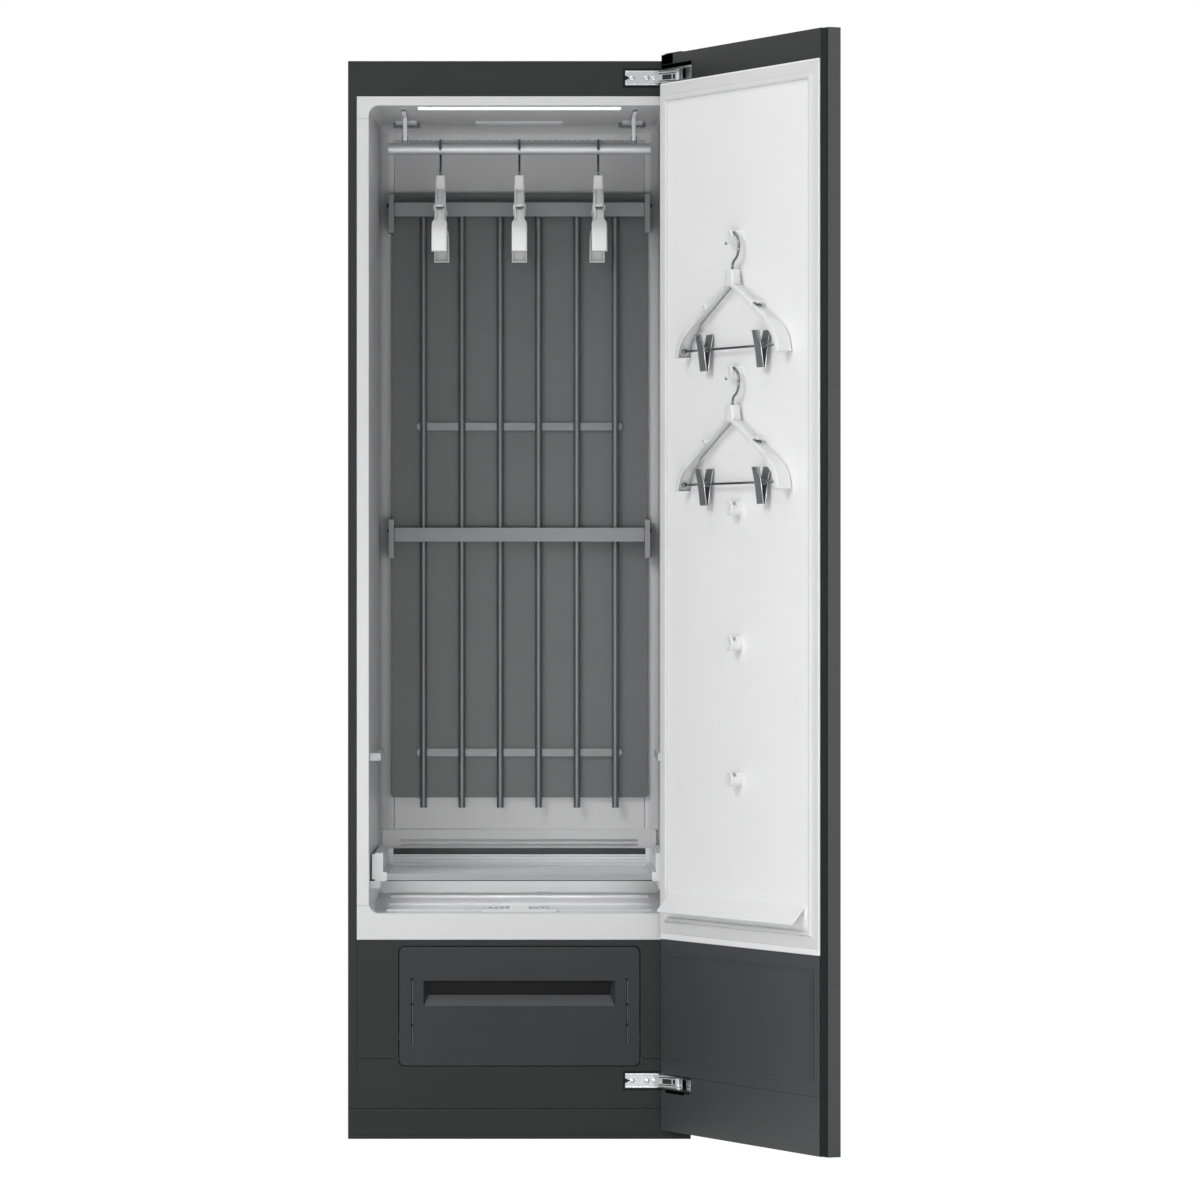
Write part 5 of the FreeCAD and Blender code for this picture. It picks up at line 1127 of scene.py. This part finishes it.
# %% Floor
WHITE = (1, 1, 1, 1)
FLOOR_REACH = 30
FLOOR_WHITENESS = 0.94
FLOOR_GLOW = 1.05
floor_mesh = bpy.data.meshes.new("studio_floor")
floor_mesh.from_pydata(
    [(x * FLOOR_REACH, y * FLOOR_REACH, 0) for x, y in ((-1, -1), (1, -1), (1, 1), (-1, 1))],
    [], [(0, 1, 2, 3)])
studio_floor = bpy.data.objects.new("studio_floor", floor_mesh)
bpy.context.scene.collection.objects.link(studio_floor)
floor_paint, floor_tree, floor_shader = new_material("floor_paint")
floor_shader.inputs["Base Color"].default_value = linear("#ececec")
floor_shader.inputs["Roughness"].default_value = 0.9
ray = add_node(floor_tree, "ShaderNodeLightPath")
seen = add_node(floor_tree, "ShaderNodeMath", {
    0: ray.outputs["Is Camera Ray"], 1: ray.outputs["Is Glossy Ray"]}, operation="MAXIMUM")
share = add_node(
    floor_tree, "ShaderNodeMath", {0: seen.outputs[0], 1: FLOOR_WHITENESS}, operation="MULTIPLY")
glow = add_node(floor_tree, "ShaderNodeEmission", {"Color": WHITE, "Strength": FLOOR_GLOW})
blend = add_node(floor_tree, "ShaderNodeMixShader", {
    0: share.outputs[0], 1: floor_shader.outputs[0], 2: glow.outputs[0]})
floor_tree.links.new(blend.outputs[0], floor_tree.nodes["Material Output"].inputs["Surface"])
floor_mesh.materials.append(floor_paint)
print("floor", 2 * FLOOR_REACH, "m across")

# %% World
AMBIENT = 0.21
world = bpy.data.worlds.new("studio_world")
bpy.context.scene.world = world
world.use_nodes = True
sky = world.node_tree
sky.nodes.clear()
rays = add_node(sky, "ShaderNodeLightPath")
seen = add_node(sky, "ShaderNodeMath", {
    0: rays.outputs["Is Camera Ray"], 1: rays.outputs["Is Transmission Ray"]},
    operation="MAXIMUM")
shown = add_node(sky, "ShaderNodeMath", {
    0: seen.outputs[0], 1: rays.outputs["Is Glossy Ray"]}, operation="MAXIMUM")
plain = add_node(sky, "ShaderNodeBackground", {"Color": WHITE, "Strength": AMBIENT})
white = add_node(sky, "ShaderNodeBackground", {"Color": WHITE, "Strength": 1.0})
either = add_node(sky, "ShaderNodeMixShader", {
    0: shown.outputs[0], 1: plain.outputs[0], 2: white.outputs[0]})
add_node(sky, "ShaderNodeOutputWorld", {"Surface": either.outputs[0]})
print("world ready")

# %% Lamps


def soft_box(name, place, target, width, height, watts, beam=180):
    """A rectangular lamp that points at a target, with a beam of so many degrees."""
    data = bpy.data.lights.new(name, "AREA")
    data.shape = "RECTANGLE"
    data.size = width
    data.size_y = height
    data.energy = watts
    data.spread = math.radians(beam)
    lamp = bpy.data.objects.new(name, data)
    lamp.location = place
    direction = Vector(target) - Vector(place)
    lamp.rotation_euler = direction.to_track_quat("-Z", "Y").to_euler()
    lamp.visible_camera = False
    bpy.context.scene.collection.objects.link(lamp)


MIDDLE = (0, 0, 0.9)
soft_box("front_box", (-2.8, -4.2, 3.9), MIDDLE, 2.4, 2.4, 120)
soft_box("low_box", (-0.2, -3.4, 0.62), (0, 0, 0.44), 2.6, 0.5, 27)
soft_box("side_box", (3.6, -2.6, 1.9), MIDDLE, 2, 3, 30)
soft_box("top_box", (0, -0.4, 4.2), MIDDLE, 3, 2, 30)
soft_box("rear_box", (-1.5, 4.0, 2.5), MIDDLE, 3, 2, 60)
soft_box("basin_box", (0, -0.03, 0.4435), (0, -0.03, 0.3), 0.44, 0.3, 0.2)
soft_box("basin_back_box", (0, -0.2, 0.423), (0, 0.2, 0.423), 0.46, 0.03, 0.04, beam=30)
print("lamps set")
